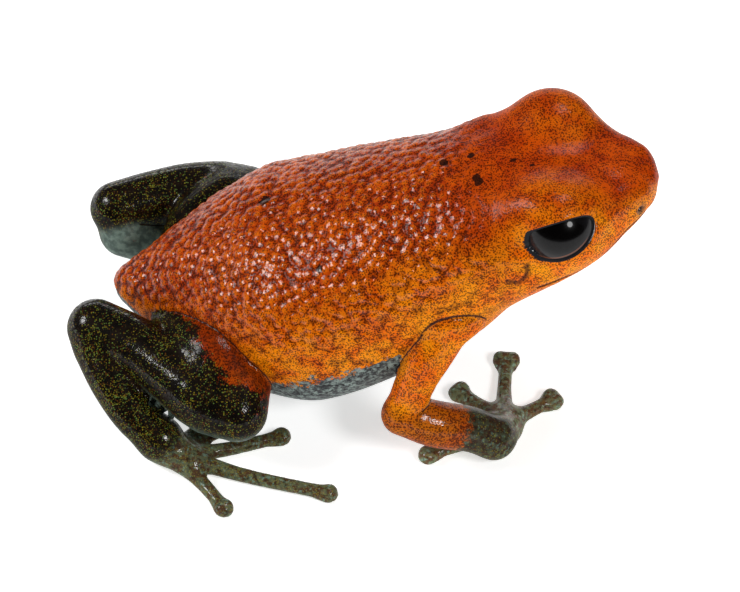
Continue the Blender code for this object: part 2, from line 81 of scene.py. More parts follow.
# The broad root of each arm: centre on the left side and half sizes.
ARM_ROOT = ((2.86, 3.42, 6.18), (1.48, 0.98, 0.98))
FOREARM = {
    RIGHT: ((1.20, -5.26, 2.60, 0.76), (2.42, -5.30, 2.15, 0.90), (3.95, -5.06, 1.42, 0.86),
            (4.72, -5.06, 1.00, 0.80)),
    LEFT: ((0.60, 5.40, 2.70, 0.80), (1.60, 5.50, 2.20, 0.90), (2.80, 5.35, 1.45, 0.86),
           (3.45, 5.25, 1.00, 0.78)),
}
THIGH = {
    RIGHT: ((-7.40, -0.85, 3.00, 1.00), (-6.65, -2.15, 3.22, 1.30), (-5.92, -3.05, 3.36, 1.46),
            (-5.03, -4.10, 2.98, 1.28)),
    LEFT: ((-7.30, 2.30, 3.15, 1.05), (-6.45, 3.65, 3.36, 1.34), (-5.60, 4.45, 3.38, 1.42),
           (-4.80, 5.08, 3.10, 1.24)),
}
SHANK = {
    RIGHT: ((-5.05, -5.05, 2.60, 1.18), (-6.10, -4.60, 2.75, 1.32), (-7.40, -3.55, 2.94, 1.22),
            (-8.95, -2.30, 3.12, 1.12), (-10.48, -1.45, 3.18, 1.12)),
    LEFT: ((-4.90, 5.55, 2.95, 1.12), (-5.80, 5.55, 3.05, 1.25), (-7.00, 5.48, 3.12, 1.20),
           (-8.40, 5.18, 3.16, 1.10), (-9.90, 4.68, 3.12, 1.06)),
}
TARSUS = {
    RIGHT: ((-10.45, -2.05, 2.75, 0.92), (-9.80, -3.33, 2.20, 0.88), (-8.97, -4.47, 1.60, 0.82),
            (-8.04, -5.14, 1.08, 0.80)),
    LEFT: ((-9.60, 4.20, 2.35, 1.04), (-8.70, 4.30, 1.80, 1.00), (-7.40, 4.95, 1.20, 0.82),
           (-6.30, 5.55, 0.90, 0.70)),
}
BALL = {
    RIGHT: ((-7.98, -5.10, 0.86, 0.74), (-7.40, -5.48, 0.58, 0.66), (-6.80, -5.82, 0.50, 0.56)),
    LEFT: ((-6.20, 5.70, 0.72, 0.62), (-5.55, 5.90, 0.55, 0.62), (-4.90, 6.05, 0.48, 0.52)),
}
PALM = {RIGHT: (5.12, -3.95), LEFT: (4.15, 4.60)}
PALM_HEIGHT = 0.42
PALM_HALF = (0.78, 0.92, 0.50)
BALL_FLATNESS = 0.85
# The heel of the hand between wrist and palm: height and radius, then those of the palm's own station.
HAND_HEEL = (0.72, 0.66)
HAND_END = (0.52, 0.60)

# Digits: root, bend and tip on the floor, and the half width of the disc.
FINGERS = {
    RIGHT: (
        ((4.75, -4.55), (3.20, -4.95), (2.04, -5.42), 0.38),
        ((4.90, -3.55), (4.12, -2.86), (3.30, -2.12), 0.44),
        ((5.15, -3.40), (5.20, -2.00), (5.32, -0.46), 0.52),
        ((5.55, -3.70), (6.30, -3.14), (7.22, -2.52), 0.46),
    ),
    LEFT: (
        ((3.75, 4.10), (3.10, 3.30), (2.60, 2.70), 0.38),
        ((4.35, 4.05), (4.95, 3.55), (5.45, 3.15), 0.44),
        ((4.60, 4.50), (5.70, 4.40), (6.75, 4.35), 0.52),
        ((4.40, 5.05), (4.95, 5.75), (5.40, 6.30), 0.46),
    ),
}
TOES = {
    RIGHT: (
        ((-7.70, -5.20), (-7.00, -4.55), (-6.45, -4.05), 0.32),
        ((-7.40, -5.40), (-6.30, -4.55), (-5.35, -3.80), 0.34),
        ((-7.20, -5.50), (-5.40, -5.08), (-3.22, -4.40), 0.36),
        ((-6.90, -5.70), (-4.60, -6.42), (-1.40, -7.24), 0.36),
        ((-7.05, -5.95), (-6.20, -6.95), (-5.42, -8.05), 0.36),
    ),
    LEFT: (
        ((-5.90, 5.50), (-5.20, 4.95), (-4.70, 4.55), 0.32),
        ((-5.50, 5.60), (-4.30, 5.10), (-3.20, 4.65), 0.34),
        ((-5.10, 5.80), (-3.20, 5.60), (-1.30, 5.50), 0.36),
        ((-4.95, 6.05), (-2.20, 6.50), (0.60, 6.85), 0.36),
        ((-5.20, 6.25), (-4.00, 7.10), (-2.90, 7.80), 0.36),
    ),
}
DIGIT_RADIUS = 0.27
DIGIT_ROOT_RADIUS = 0.36
DIGIT_HEIGHT = 0.28
ROOT_HEIGHT = 0.46
# The two lobes and the pad of a disc: how far behind the digit's tip, and their half sizes.
LOBE_BACK = 0.14
LOBE_HALF = (0.29, 0.22, 0.26)
LOBE_TURN = 0.45
PAD_BACK = 0.34
PAD_HALF_LENGTH = 0.50
PAD_HALF_HEIGHT = 0.22
LIMB_SIDES = 30
LIMB_RINGS = 26
DOME_RINGS = 7

# Eyes and lids. The solid model's left eye lies at CAD_EYE, and the skin's eyeball sits a little deeper.
CAD_EYE = np.array((7.0, 2.42, 10.05))
EYE_CENTRE = np.array((7.0, 2.27, 10.10))
EYE_RADIUS = 1.40
# The head leans a little away from the camera, so each eye has its own lid and lift.
LID_CENTRE = {RIGHT: (6.84, -2.10, 10.05), LEFT: (6.90, 2.30, 10.14)}
LID_SIZE = {RIGHT: (2.10, 1.70, 1.74), LEFT: (2.00, 1.78, 1.87)}
EYE_LIFT = {RIGHT: math.radians(12.0), LEFT: math.radians(-10.0)}
OPENING_LENGTH = math.radians(71.5)
OPENING_HEIGHT = math.radians(32.0)
OPENING_AHEAD = math.radians(-5.0)
OPENING_RISE = {RIGHT: math.radians(6.7), LEFT: math.radians(3.0)}
OPENING_TILT = math.radians(22.0)
LID_EDGE = 0.08
LID_ROLL = 0.04
LID_WALL = 0.17
LID_WALL_WIDTH = 0.10
# How far from the eye's centre the lids shape the head, fading out over this range.
LID_REACH = (2.2, 2.9)
GAZE_LIFT = math.radians(42.0)
EYE_SEGMENTS = 144
EYE_RINGS = 88
EYE_EDGE_RANGE = 0.40

# Mouth, nostrils and the fold behind the eye.
MOUTH_CORNER_X = 5.9
MOUTH_FRONT_X = 10.42
MOUTH_ANGLE = math.radians(108.5)
MOUTH_DEPTH = 0.09
MOUTH_HALF_WIDTH = 0.05
LIP_SWELL = 0.02
LIP_OFFSET = 0.24
LIP_HALF_WIDTH = 0.20
NOSTRIL_X = 10.02
NOSTRIL_ANGLE = math.radians(87.0)
NOSTRIL_DEPTH = 0.13
NOSTRIL_RADIUS = 0.10
NOSTRIL_RIM = 0.03
EAR_FOLD = (
    (5.80, 3.54, 9.33), (5.80, 3.62, 9.02), (5.68, 3.66, 8.71), (5.46, 3.69, 8.52), (5.08, 3.74, 8.66),
)
EAR_FOLD_DEPTH = 0.07
EAR_FOLD_HALF_WIDTH = 0.08
FOLD_DEPTH = 0.05
FOLD_HALF_WIDTH = 0.08

# The ridge from each eye to the nostril, and the fuller left side of the neck: x, y, z and radius.
SNOUT_RIDGE = {
    RIGHT: ((7.95, -1.72, 10.28, 0.78), (9.00, -1.40, 10.46, 0.58), (9.95, -0.89, 10.49, 0.37)),
    LEFT: ((7.95, 1.62, 10.22, 0.68), (9.00, 1.34, 10.42, 0.52), (9.95, 0.89, 10.49, 0.37)),
}
NECK_RIDGE = (
    (6.30, 2.30, 10.50, 0.90), (5.40, 2.40, 10.12, 0.90),
    (4.50, 2.36, 9.78, 0.86), (3.60, 2.20, 9.40, 0.70),
)

# How softly the forms run into each other.
LID_BLEND = 0.85
RIDGE_BLEND = 0.40
SHOULDER_BLEND = 0.14
ELBOW_BLEND = 0.30
HIP_BLEND = 0.12
KNEE_BLEND = 0.40
HEEL_BLEND = 0.25
WRIST_BLEND = 0.45
ANKLE_BLEND = 0.60
DIGIT_BLEND = 0.30
PAD_BLEND = 0.14
# The distance given to points that lie far from a form, and how softly one part's colours meet the next.
FAR = 9.0
PART_SOFTNESS = 0.06

# Fineness of the skin's mesh, the furthest that one round of drawing in moves it, and how closely the
# mouth, spine and forearm are sampled.
SKIN_STEP = 0.152
DRAW_LIMIT = 0.12
MOUTH_SPOTS = 140
SPINE_SPOTS = 260
FOREARM_SPOTS = 60

# The skin's grain, and how far the crease value reaches.
GRANULE_SPACING = 0.31
GRANULE_HEIGHT = 0.066
GRANULE_ROUNDNESS = 0.76
PEBBLE_SPACING = 0.56
PEBBLE_HEIGHT = 0.04
PEBBLE_ROUNDNESS = 0.66
GRAIN_SEED = 7
CREASE_RANGE = 0.60

# Black marks on the back and head: centre and size.
MARKS = (
    (-3.91, 1.11, 7.40, 0.34), (-1.79, -2.51, 7.80, 0.20), (2.80, 0.43, 10.38, 0.24),
    (3.80, 0.50, 10.69, 0.20), (4.08, -0.58, 10.51, 0.22), (4.28, -0.75, 10.14, 0.26),
    (5.35, -0.06, 10.98, 0.16), (6.08, -0.42, 11.06, 0.14), (6.70, 0.99, 11.21, 0.10),
    (8.99, -1.90, 11.12, 0.09),
)

# Where the colours meet. The thigh's orange lies between the flank and this line of x and y.
THIGH_LINE = np.array(((-7.00, -1.90), (-6.20, -3.80), (-5.22, -4.90), (-3.90, -5.00)))
LEFT_THIGH_INSET = 0.8
# Where along the forearm its orange ends, in shares of its length.
WRIST_DARK = (0.40, 0.80)
# The belly's upper edge, in degrees round the body from the back, and its drop at the flank and throat.
BELLY_EDGE = 99.0
FLANK_DROP = 5.0
THROAT_DROP = 60.0

# Colours as they look on a screen, from 0 to 255.
PALETTE = {
    # The back's deep oranges and the flanks' bright orange and jaw yellow are partly the frog's own hues and
    # partly painted shade on the back and painted light on the flanks.
    "deep orange": (178, 54, 0),
    "back orange": (206, 78, 0),
    "flank orange": (250, 112, 0),
    "jaw yellow": (255, 154, 8),
    # Painted shade between the granules, and painted light on their tops.
    "painted valley shade": (122, 32, 2),
    "painted granule top light": (255, 150, 16),
    "forearm brown": (132, 66, 12),
    "thigh orange": (112, 38, 0),
    "thigh mottle": (44, 16, 4),
    "stipple": (40, 10, 0),
    "belly grey": (60, 62, 64),
    "belly teal": (142, 158, 152),
    "belly dark": (38, 37, 40),
    "rump grey": (48, 42, 46),
    "gold speck": (92, 54, 14),
    "olive speck": (124, 114, 26),
    "green speck": (94, 118, 52),
    "leg black": (6, 3, 1),
    "leg brown": (22, 12, 5),
    # Grey and teal on the legs' downward sides: partly their own paler colour, partly painted light from the
    # pale floor.
    "underside grey with floor light": (78, 92, 86),
    "underside teal with floor light": (112, 130, 120),
    "hand brown": (106, 76, 54),
    "hand green": (120, 129, 97),
    "hand teal": (142, 174, 152),
    "hand gold": (160, 148, 62),
    "hand dark": (42, 28, 19),
    "black mark": (18, 8, 4),
    "nostril grey": (76, 68, 66),
    # Painted shade in the mouth's line, the folds behind the eyes and the nostrils.
    "painted groove shade": (30, 20, 18),
    # Painted shade along the creases between the body and the limbs, at the inner elbow and before the heel.
    "painted crease shade": (30, 14, 10),
    "lid black": (34, 36, 40),
    "iris": (7, 6, 7),
    "iris fleck": (13, 12, 13),
    "iris edge": (26, 25, 28),
    "copper": (150, 86, 56),
    "pupil": (2, 1, 1),
    # Painted shade on the eyeball where the lids meet it.
    "painted lid shade on eye": (8, 7, 7),
}

# Photo view: elevation, distance, the point looked at and how much of it the picture's width shows.
VIEW_LIFT = math.radians(50.0)
VIEW_DISTANCE = 170.0
VIEW_TARGET = np.array((0.0, 0.0, 3.35))
PICTURE_PIXELS = 740.0
PIXELS_PER_MILLIMETRE = 26.0
FRAME_WIDTH = PICTURE_PIXELS / PIXELS_PER_MILLIMETRE
SENSOR = 36.0
FLOOR_GLOW = 0.62


def on_side(point, side):
    """A place that is given for the left side, on the wanted side."""
    return np.array(point) * np.array((1.0, side, 1.0))


def smooth(low, high, value):
    """A smooth step from 0 at low to 1 at high."""
    share = np.clip((value - low) / (high - low), 0.0, 1.0)
    return share * share * (3.0 - 2.0 * share)


def through(knots, values, at):
    """The smooth curve that passes through the values at the knots, read at the given places."""
    step = np.diff(knots)[:, None]
    slope = np.diff(values, axis=0) / step
    before, after = slope[:-1], slope[1:]
    same_way = before * after > 0.0
    weight_before = 2.0 * step[1:] + step[:-1]
    weight_after = step[1:] + 2.0 * step[:-1]
    safe_before = np.where(same_way, before, 1.0)
    safe_after = np.where(same_way, after, 1.0)
    mean = (weight_before + weight_after) / (weight_before / safe_before + weight_after / safe_after)
    tangent = np.vstack((slope[:1], np.where(same_way, mean, 0.0), slope[-1:]))
    piece = np.clip(np.searchsorted(knots, at, side="right") - 1, 0, len(step) - 1)
    part = ((at - knots[piece]) / step[piece, 0])[:, None]
    rest = 1.0 - part
    return (
        (1.0 + 2.0 * part) * rest ** 2 * values[piece]
        + part * rest ** 2 * step[piece] * tangent[piece]
        + (1.0 + 2.0 * rest) * part ** 2 * values[piece + 1]
        - rest * part ** 2 * step[piece] * tangent[piece + 1]
    )


def spine_lengths():
    """Distance along the spine at each body section."""
    steps = np.hypot(np.diff(BODY_SECTIONS[:, 0]), np.diff(BODY_SECTIONS[:, 1]))
    return np.concatenate(((0.0,), np.cumsum(steps)))


def spine_at(place):
    """Section values, spine direction and sideways bend at places along the spine."""
    lengths = spine_lengths()
    before, section, after = [through(lengths, BODY_SECTIONS, place + step) for step in (-0.01, 0.0, 0.01)]
    run = after[:, :2] - before[:, :2]
    run /= np.linalg.norm(run, axis=1)[:, None]
    bend = through(SPINE_BEND[:, 0], SPINE_BEND[:, 1:], section[:, 0])[:, 0]
    return section, run, bend


def place_at_x(x):
    """Distance along the spine where its x has the given value."""
    return float(np.interp(x, BODY_SECTIONS[:, 0], spine_lengths()))


def body_points(place, angle):
    """Points on the body at places along the spine. The angle runs from the back, 0, down to the right."""
    section, run, bend = spine_at(np.atleast_1d(place))
    angle = np.atleast_1d(angle)
    lift, spread = np.cos(angle), np.sin(angle)
    squareness = np.where(lift > 0.0, BACK_SQUARENESS, BELLY_SQUARENESS)
    lift = np.sign(lift) * np.abs(lift) ** (2.0 / squareness)
    spread = np.sign(spread) * np.abs(spread) ** (2.0 / squareness)
    height = np.where(lift > 0.0, section[:, 3], section[:, 4]) * lift
    across = section[:, 2] * spread
    return np.stack((
        section[:, 0] - run[:, 1] * height,
        bend - across,
        section[:, 1] + run[:, 0] * height,
    ), axis=1)


def add_loft(form, rings, first_tip, last_tip):
    """Add a closed surface over rings of points, with a tip point at each end."""
    layers = [[form.verts.new(point) for point in ring] for ring in rings]
    start = form.verts.new(first_tip)
    end = form.verts.new(last_tip)
    count = len(layers[0])
    for near, far in zip(layers, layers[1:]):
        for i in range(count):
            j = (i + 1) % count
            form.faces.new((near[i], near[j], far[j], far[i]))
    for i in range(count):
        j = (i + 1) % count
        form.faces.new((start, layers[0][j], layers[0][i]))
        form.faces.new((end, layers[-1][i], layers[-1][j]))


def add_body(form):
    """Add the trunk and head as one length."""
    turn = np.linspace(0.0, math.pi, BODY_RINGS)
    places = spine_lengths()[-1] * (1.0 - np.cos(turn)) / 2.0
    angles = np.linspace(0.0, 2.0 * math.pi, BODY_SIDES, endpoint=False)
    rings = [body_points(np.full(BODY_SIDES, place), angles) for place in places]
    add_loft(form, rings, rings[0].mean(axis=0), rings[-1].mean(axis=0))


def limb_line(stations, count):
    """Points and radii along a limb, evenly spread."""
    stations = np.array(stations, float)
    steps = np.linalg.norm(np.diff(stations[:, :3], axis=0), axis=1)
    lengths = np.concatenate(((0.0,), np.cumsum(steps)))
    return through(lengths, stations, np.linspace(0.0, lengths[-1], count))


def cross_rows(first, second):
    """Unit vectors square to each pair of rows."""
    out = np.cross(first, second)
    return out / np.linalg.norm(out, axis=1)[:, None]


def add_limb(form, stations, sides=LIMB_SIDES, rings=LIMB_RINGS, domes=DOME_RINGS, flatness=1.0):
    """Add a round-ended fleshy length through stations of x, y, z and radius."""
    along = limb_line(stations, rings)
    run = np.gradient(along[:, :3], axis=0)
    run /= np.linalg.norm(run, axis=1)[:, None]
    turns = np.linspace(0.0, math.pi / 2.0, domes + 1)[1:-1]
    spots = [(along[0], run[0], -math.sin(turn), math.cos(turn)) for turn in turns[::-1]]
    spots += [(along[i], run[i], 0.0, 1.0) for i in range(rings)]
    spots += [(along[-1], run[-1], math.sin(turn), math.cos(turn)) for turn in turns]
    centres = np.array([spot[:3] + way * spot[3] * ahead for spot, way, ahead, _ in spots])
    radii = np.array([spot[3] * shrink for spot, _, _, shrink in spots])
    ways = np.array([way for _, way, _, _ in spots])
    side = cross_rows(np.tile(UP, (len(ways), 1)), ways)
    rise = cross_rows(ways, side)
    angles = np.linspace(0.0, 2.0 * math.pi, sides, endpoint=False)
    layers = [
        centre + radius * (np.outer(np.cos(angles), across) + flatness * np.outer(np.sin(angles), lift))
        for centre, radius, across, lift in zip(centres, radii, side, rise)
    ]
    add_loft(form, layers, along[0, :3] - run[0] * along[0, 3], along[-1, :3] + run[-1] * along[-1, 3])


def add_ball(form, centre, half_sizes, turn=0.0, segments=40, rings=24):
    """Add an ellipsoid, turned about the vertical."""
    centre = np.array(centre)
    rises = np.linspace(-math.pi / 2.0, math.pi / 2.0, rings + 1)
    angles = np.linspace(0.0, 2.0 * math.pi, segments, endpoint=False)
    cosine, sine = math.cos(turn), math.sin(turn)
    way = np.array(((cosine, sine, 0.0), (-sine, cosine, 0.0), (0.0, 0.0, 1.0)))
    layers = []
    for rise in rises[1:-1]:
        wide, high = math.cos(rise), math.sin(rise)
        ring = np.stack((np.cos(angles) * wide, np.sin(angles) * wide, np.full(segments, high)), axis=1)
        layers.append(centre + (ring * half_sizes) @ way)
    tip = np.array((0.0, 0.0, half_sizes[2]))
    add_loft(form, layers, centre - tip, centre + tip)


def digit_stations(root, bend, tip):
    """Stations of a finger or toe that lies on the floor."""
    root, bend, tip = np.array(root), np.array(bend), np.array(tip)
    way = (tip - bend) / np.linalg.norm(tip - bend)
    return (
        (*root, ROOT_HEIGHT, DIGIT_ROOT_RADIUS),
        (*bend, DIGIT_HEIGHT + 0.02, DIGIT_RADIUS),
        (*(tip - way * 0.45), DIGIT_HEIGHT, DIGIT_RADIUS * 0.96),
        (*(tip - way * 0.15), DIGIT_HEIGHT, DIGIT_RADIUS),
    ), way


def disc_balls(tip, way, disc):
    """Places, half sizes and turns of the two scutes and the widening pad of a digit's disc."""
    across = np.array((-way[1], way[0]))
    heading = math.atan2(way[1], way[0])
    balls = []
    for hand in SIDES:
        spot = np.array(tip) - way * LOBE_BACK + across * hand * (disc - LOBE_HALF[1])
        balls.append(((*spot, DIGIT_HEIGHT + 0.02), LOBE_HALF, heading - hand * LOBE_TURN))
    spot = np.array(tip) - way * PAD_BACK
    balls.append(((*spot, DIGIT_HEIGHT - 0.07), (PAD_HALF_LENGTH, disc - 0.05, PAD_HALF_HEIGHT), heading))
    return balls


def add_digit(form, root, bend, tip, disc):
    """Add a finger or toe with the two rounded scutes and the pad of its disc."""
    stations, way = digit_stations(root, bend, tip)
    add_limb(form, stations, sides=16, rings=14, domes=4)
    for spot, half_sizes, turn in disc_balls(tip, way, disc):
        add_ball(form, spot, half_sizes, turn, 18, 12)


def hand_stations(side):
    """Stations from the wrist into the palm."""
    wrist = FOREARM[side][-1]
    palm = PALM[side]
    return (
        (wrist[0], wrist[1], wrist[2] - 0.10, wrist[3] - 0.12),
        ((wrist[0] + palm[0]) / 2.0 + 0.12, (wrist[1] + palm[1]) / 2.0, *HAND_HEEL),
        (*palm, *HAND_END),
    )


def flesh():
    """The whole frog as overlapping closed forms."""
    form = bmesh.new()
    add_body(form)
    for side in SIDES:
        add_ball(form, LID_CENTRE[side], LID_SIZE[side])
        for limb in (UPPER_ARM, FOREARM, THIGH, SHANK, TARSUS):
            add_limb(form, limb[side])
        add_ball(form, on_side(ARM_ROOT[0], side), ARM_ROOT[1])
        add_limb(form, hand_stations(side))
        add_ball(form, (*PALM[side], PALM_HEIGHT), PALM_HALF)
        add_limb(form, BALL[side], flatness=BALL_FLATNESS)
        for digit in FINGERS[side] + TOES[side]:
            add_digit(form, *digit)
    bmesh.ops.recalc_face_normals(form, faces=form.faces)
    return form


def mesh_object(name, form):
    """Turn a bmesh into an object in the scene."""
    mesh = bpy.data.meshes.new(name)
    form.to_mesh(mesh)
    form.free()
    made = bpy.data.objects.new(name, mesh)
    bpy.context.scene.collection.objects.link(made)
    return made


def take_evaluated(made):
    """Keep the mesh as the modifiers leave it, and drop them."""
    bpy.context.view_layer.update()
    graph = bpy.context.evaluated_depsgraph_get()
    result = bpy.data.meshes.new_from_object(made.evaluated_get(graph))
    made.modifiers.clear()
    made.data = result


def fuse(made):
    """Fuse overlapping forms into one even skin and keep its largest surface."""
    step = made.modifiers.new("fuse", "REMESH")
    step.mode = "VOXEL"
    step.voxel_size = SKIN_STEP
    step.use_smooth_shade = True
    take_evaluated(made)
    form = bmesh.new()
    form.from_mesh(made.data)
    unseen = set(form.faces)
    groups = []
    for face in form.faces:
        if face not in unseen:
            continue
        unseen.remove(face)
        reached = [face]
        for near in reached:
            for edge in near.edges:
                for other in edge.link_faces:
                    if other in unseen:
                        unseen.remove(other)
                        reached.append(other)
        groups.append(reached)
    groups.sort(key=len)
    for scrap in groups[:-1]:
        bmesh.ops.delete(form, geom=scrap, context="FACES")
    form.to_mesh(made.data)
    form.free()


def get_points(mesh):
    """Vertex positions as an array."""
    flat = np.empty(len(mesh.vertices) * 3)
    mesh.vertices.foreach_get("co", flat)
    return flat.reshape(-1, 3)


def set_points(mesh, points):
    """Write vertex positions back."""
    mesh.vertices.foreach_set("co", points.ravel())
    mesh.update()


def get_normals(mesh):
    """Vertex normals as an array."""
    flat = np.empty(len(mesh.vertices) * 3)
    mesh.vertices.foreach_get("normal", flat)
    return flat.reshape(-1, 3)


def neighbour_means(mesh, points):
    """The mean place of each vertex's neighbours."""
    ends = np.empty(len(mesh.edges) * 2, int)
    mesh.edges.foreach_get("vertices", ends)
    first, second = ends.reshape(-1, 2).T
    count = len(points)
    total = [
        np.bincount(first, row[second], count) + np.bincount(second, row[first], count)
        for row in points.T
    ]
    return np.stack(total, axis=1) / np.bincount(ends, minlength=count)[:, None]


def soften(mesh, weight, rounds):
    """Smooth the mesh where the weight is high, without shrinking it."""
    points = get_points(mesh)
    for _ in range(rounds):
        for factor in (0.5, -0.52):
            points = points + factor * weight[:, None] * (neighbour_means(mesh, points) - points)
    set_points(mesh, points)


def near_box(points, low, high):
    """Which points lie in a box."""
    return np.all((points > low) & (points < high), axis=1)


def distance_to_path(points, path):
    """Distance from each point to the nearest point of a closely sampled path."""
    tree = KDTree(len(path))
    for i, spot in enumerate(path):
        tree.insert(spot, i)
    tree.balance()
    near = near_box(points, path.min(axis=0) - 0.7, path.max(axis=0) + 0.7)
    away = np.full(len(points), FAR)
    away[near] = [tree.find(point)[2] for point in points[near]]
    return away


def mouth_path():
    """The line of the mouth round the snout."""
    share = np.linspace(0.0, 1.0, MOUTH_SPOTS)
    corner, front = place_at_x(MOUTH_CORNER_X), place_at_x(MOUTH_FRONT_X)
    place = corner + (front - corner) * np.sin(share * math.pi / 2.0)
    angle = MOUTH_ANGLE + (math.pi - MOUTH_ANGLE) * share ** 9
    return np.vstack((body_points(place, angle), body_points(place, -angle)[-2::-1]))


def ear_path(side):
    """The short fold behind the eye."""
    knots = on_side(EAR_FOLD, side)
    return through(np.arange(len(knots)) * 1.0, knots, np.linspace(0.0, len(knots) - 1.001, 40))


def nostril(side):
    """The middle of a nostril."""
    return body_points(place_at_x(NOSTRIL_X), -side * NOSTRIL_ANGLE)[0]


def face_lines(mesh):
    """The mouth, the folds behind the eyes, the nostrils and the black marks, laid onto the skin."""
    form = bmesh.new()
    form.from_mesh(mesh)
    for vert, spot in zip(form.verts, shape_lids(get_points(mesh))):
        vert.co = spot
    tree = BVHTree.FromBMesh(form)
    form.free()

    def laid(path):
        """The nearest points of the skin."""
        return np.array([tree.find_nearest(Vector(spot))[0] for spot in path])

    return {
        "mouth": laid(mouth_path()),
        "ear": {side: laid(ear_path(side)) for side in SIDES},
        "nostril": {side: laid([nostril(side)])[0] for side in SIDES},
        "marks": laid([mark[:3] for mark in MARKS]),
    }


def refine(made, wanted, rounds):
    """Split the faces where wanted says so, to hold finer forms."""
    form = bmesh.new()
    form.from_mesh(made.data)
    for _ in range(rounds):
        form.verts.index_update()
        points = np.array([vert.co for vert in form.verts])
        near = wanted(points)
        edges = [edge for edge in form.edges if near[edge.verts[0].index] and near[edge.verts[1].index]]
        bmesh.ops.subdivide_edges(form, edges=edges, cuts=1, use_grid_fill=True, smooth=0.0)
        crowded = [face for face in form.faces if len(face.verts) > 4]
        bmesh.ops.triangulate(form, faces=crowded)
    form.to_mesh(made.data)
    form.free()


def eye_axes(side, lift):
    """Forward, upward and outward unit vectors of an eye that looks up by an angle."""
    outward = np.array((0.0, side * math.cos(lift), math.sin(lift)))
    upward = np.array((0.0, -side * math.sin(lift), math.cos(lift)))
    return np.array((1.0, 0.0, 0.0)), upward, outward


def opening_distance(points, side):
    """Distance of points from the edge of the eye's opening along the ball, negative inside it, with
    their distance from the eye's centre and their place along the opening."""
    forward, upward, outward = eye_axes(side, EYE_LIFT[side])
    offset = points - on_side(EYE_CENTRE, side)
    reach = np.linalg.norm(offset, axis=1)
    away = np.arccos(np.clip(offset @ outward / np.maximum(reach, 1e-6), -1.0, 1.0))
    around = np.arctan2(offset @ upward, offset @ forward)
    along = away * np.cos(around) - OPENING_AHEAD
    across = away * np.sin(around) - OPENING_RISE[side]
    level = along * math.cos(OPENING_TILT) + across * math.sin(OPENING_TILT)
    rise = across * math.cos(OPENING_TILT) - along * math.sin(OPENING_TILT)
    ring = np.sqrt((level / OPENING_LENGTH) ** 2 + (rise / OPENING_HEIGHT) ** 2)
    slope = np.sqrt((level / OPENING_LENGTH ** 2) ** 2 + (rise / OPENING_HEIGHT ** 2) ** 2)
    slope = np.maximum(slope / np.maximum(ring, 1e-6), 0.5)
    return (ring - 1.0) / slope * EYE_RADIUS + 0.8 * smooth(1.85, 2.5, reach), reach, level


def shape_lids(points):
    """Open the lids over each eyeball, with a rounded edge that runs softly into the head."""
    for side in SIDES:
        centre = on_side(EYE_CENTRE, side)
        edge, reach, _ = opening_distance(points, side)
        near = (edge < 2.6) & (reach < 3.0)
        base = np.maximum(reach, EYE_RADIUS + LID_EDGE)
        lid = EYE_RADIUS + LID_EDGE + LID_ROLL * smooth(0.0, 0.12, edge)
        width = 0.50 + 1.7 * (base - EYE_RADIUS - LID_EDGE)
        hold = (1.0 - np.clip((edge - 0.05) / width, 0.0, 1.0)) ** 2 * (1.0 - smooth(*LID_REACH, reach))
        outside = hold * lid + (1.0 - hold) * base
        sunk = EYE_RADIUS - LID_WALL
        wall = sunk + (outside - sunk) * smooth(-LID_WALL_WIDTH, 0.02, edge)
        wanted = np.where(edge > -LID_WALL_WIDTH, outside, sunk)
        wanted = np.where(edge < 0.02, wall, wanted)
        factor = np.where(near, wanted / np.maximum(reach, 1e-6), 1.0)
        points = centre + (points - centre) * factor[:, None]
    return points


def limb_distance(points, stations, segments=12, reach=1.5):
    """Distance of points from the surface of a limb, negative inside it and large far from it."""
    line = limb_line(stations, segments + 1)
    edge = line[:, 3].max() + reach
    near = near_box(points, line[:, :3].min(axis=0) - edge, line[:, :3].max(axis=0) + edge)
    spots = points[near]
    best = np.full(len(spots), FAR)
    for start, end in zip(line, line[1:]):
        run = end[:3] - start[:3]
        share = np.clip((spots - start[:3]) @ run / (run @ run), 0.0, 1.0)
        gap = np.linalg.norm(spots - start[:3] - share[:, None] * run, axis=1)
        best = np.minimum(best, gap - start[3] - share * (end[3] - start[3]))
    away = np.full(len(points), FAR)
    away[near] = best
    return away


def ball_distance(points, centre, half_sizes, turn=0.0, reach=1.5):
    """Distance of points from an ellipsoid turned about the vertical."""
    half_sizes = np.array(half_sizes)
    edge = half_sizes.max() + reach
    near = near_box(points, np.array(centre) - edge, np.array(centre) + edge)
    offset = points[near] - centre
    across = offset[:, 0] * math.cos(turn) + offset[:, 1] * math.sin(turn)
    beside = offset[:, 1] * math.cos(turn) - offset[:, 0] * math.sin(turn)
    offset = np.stack((across, beside, offset[:, 2]), axis=1)
    first = np.linalg.norm(offset / half_sizes, axis=1)
    second = np.linalg.norm(offset / half_sizes ** 2, axis=1)
    away = np.full(len(points), FAR)
    away[near] = first * (first - 1.0) / np.maximum(second, 1e-6)
    return away


def blend(first, second, width):
    """The soft least of two distances, which fills the corner between two forms."""
    share = np.clip(0.5 + 0.5 * (second - first) / width, 0.0, 1.0)
    return second + (first - second) * share - width * share * (1.0 - share)


def digit_distance(points, root, bend, tip, disc):
    """Distance of points from a finger or toe and its disc."""
    stations, way = digit_stations(root, bend, tip)
    away = limb_distance(points, stations, 6, 0.8)
    for spot, half_sizes, turn in disc_balls(tip, way, disc):
        away = blend(away, ball_distance(points, spot, half_sizes, turn, 0.8), PAD_BLEND)
    return away


def trunk_tree():
    """A search tree over the trunk and head."""
    form = bmesh.new()
    add_body(form)
    bmesh.ops.recalc_face_normals(form, faces=form.faces)
    tree = BVHTree.FromBMesh(form)
    form.free()
    return tree


def body_distance(points, trunk):
    """Distance of points from the trunk, head, snout ridges, lids and neck ridge, negative inside."""
    away = np.empty(len(points))
    for i, point in enumerate(points):
        spot, normal, _, gap = trunk.find_nearest(point)
        away[i] = gap if (Vector(point) - spot).dot(normal) > 0.0 else -gap
    for side in SIDES:
        away = blend(away, limb_distance(points, SNOUT_RIDGE[side]), RIDGE_BLEND)
        away = blend(away, ball_distance(points, LID_CENTRE[side], LID_SIZE[side]), LID_BLEND)
    return blend(away, limb_distance(points, NECK_RIDGE), RIDGE_BLEND)


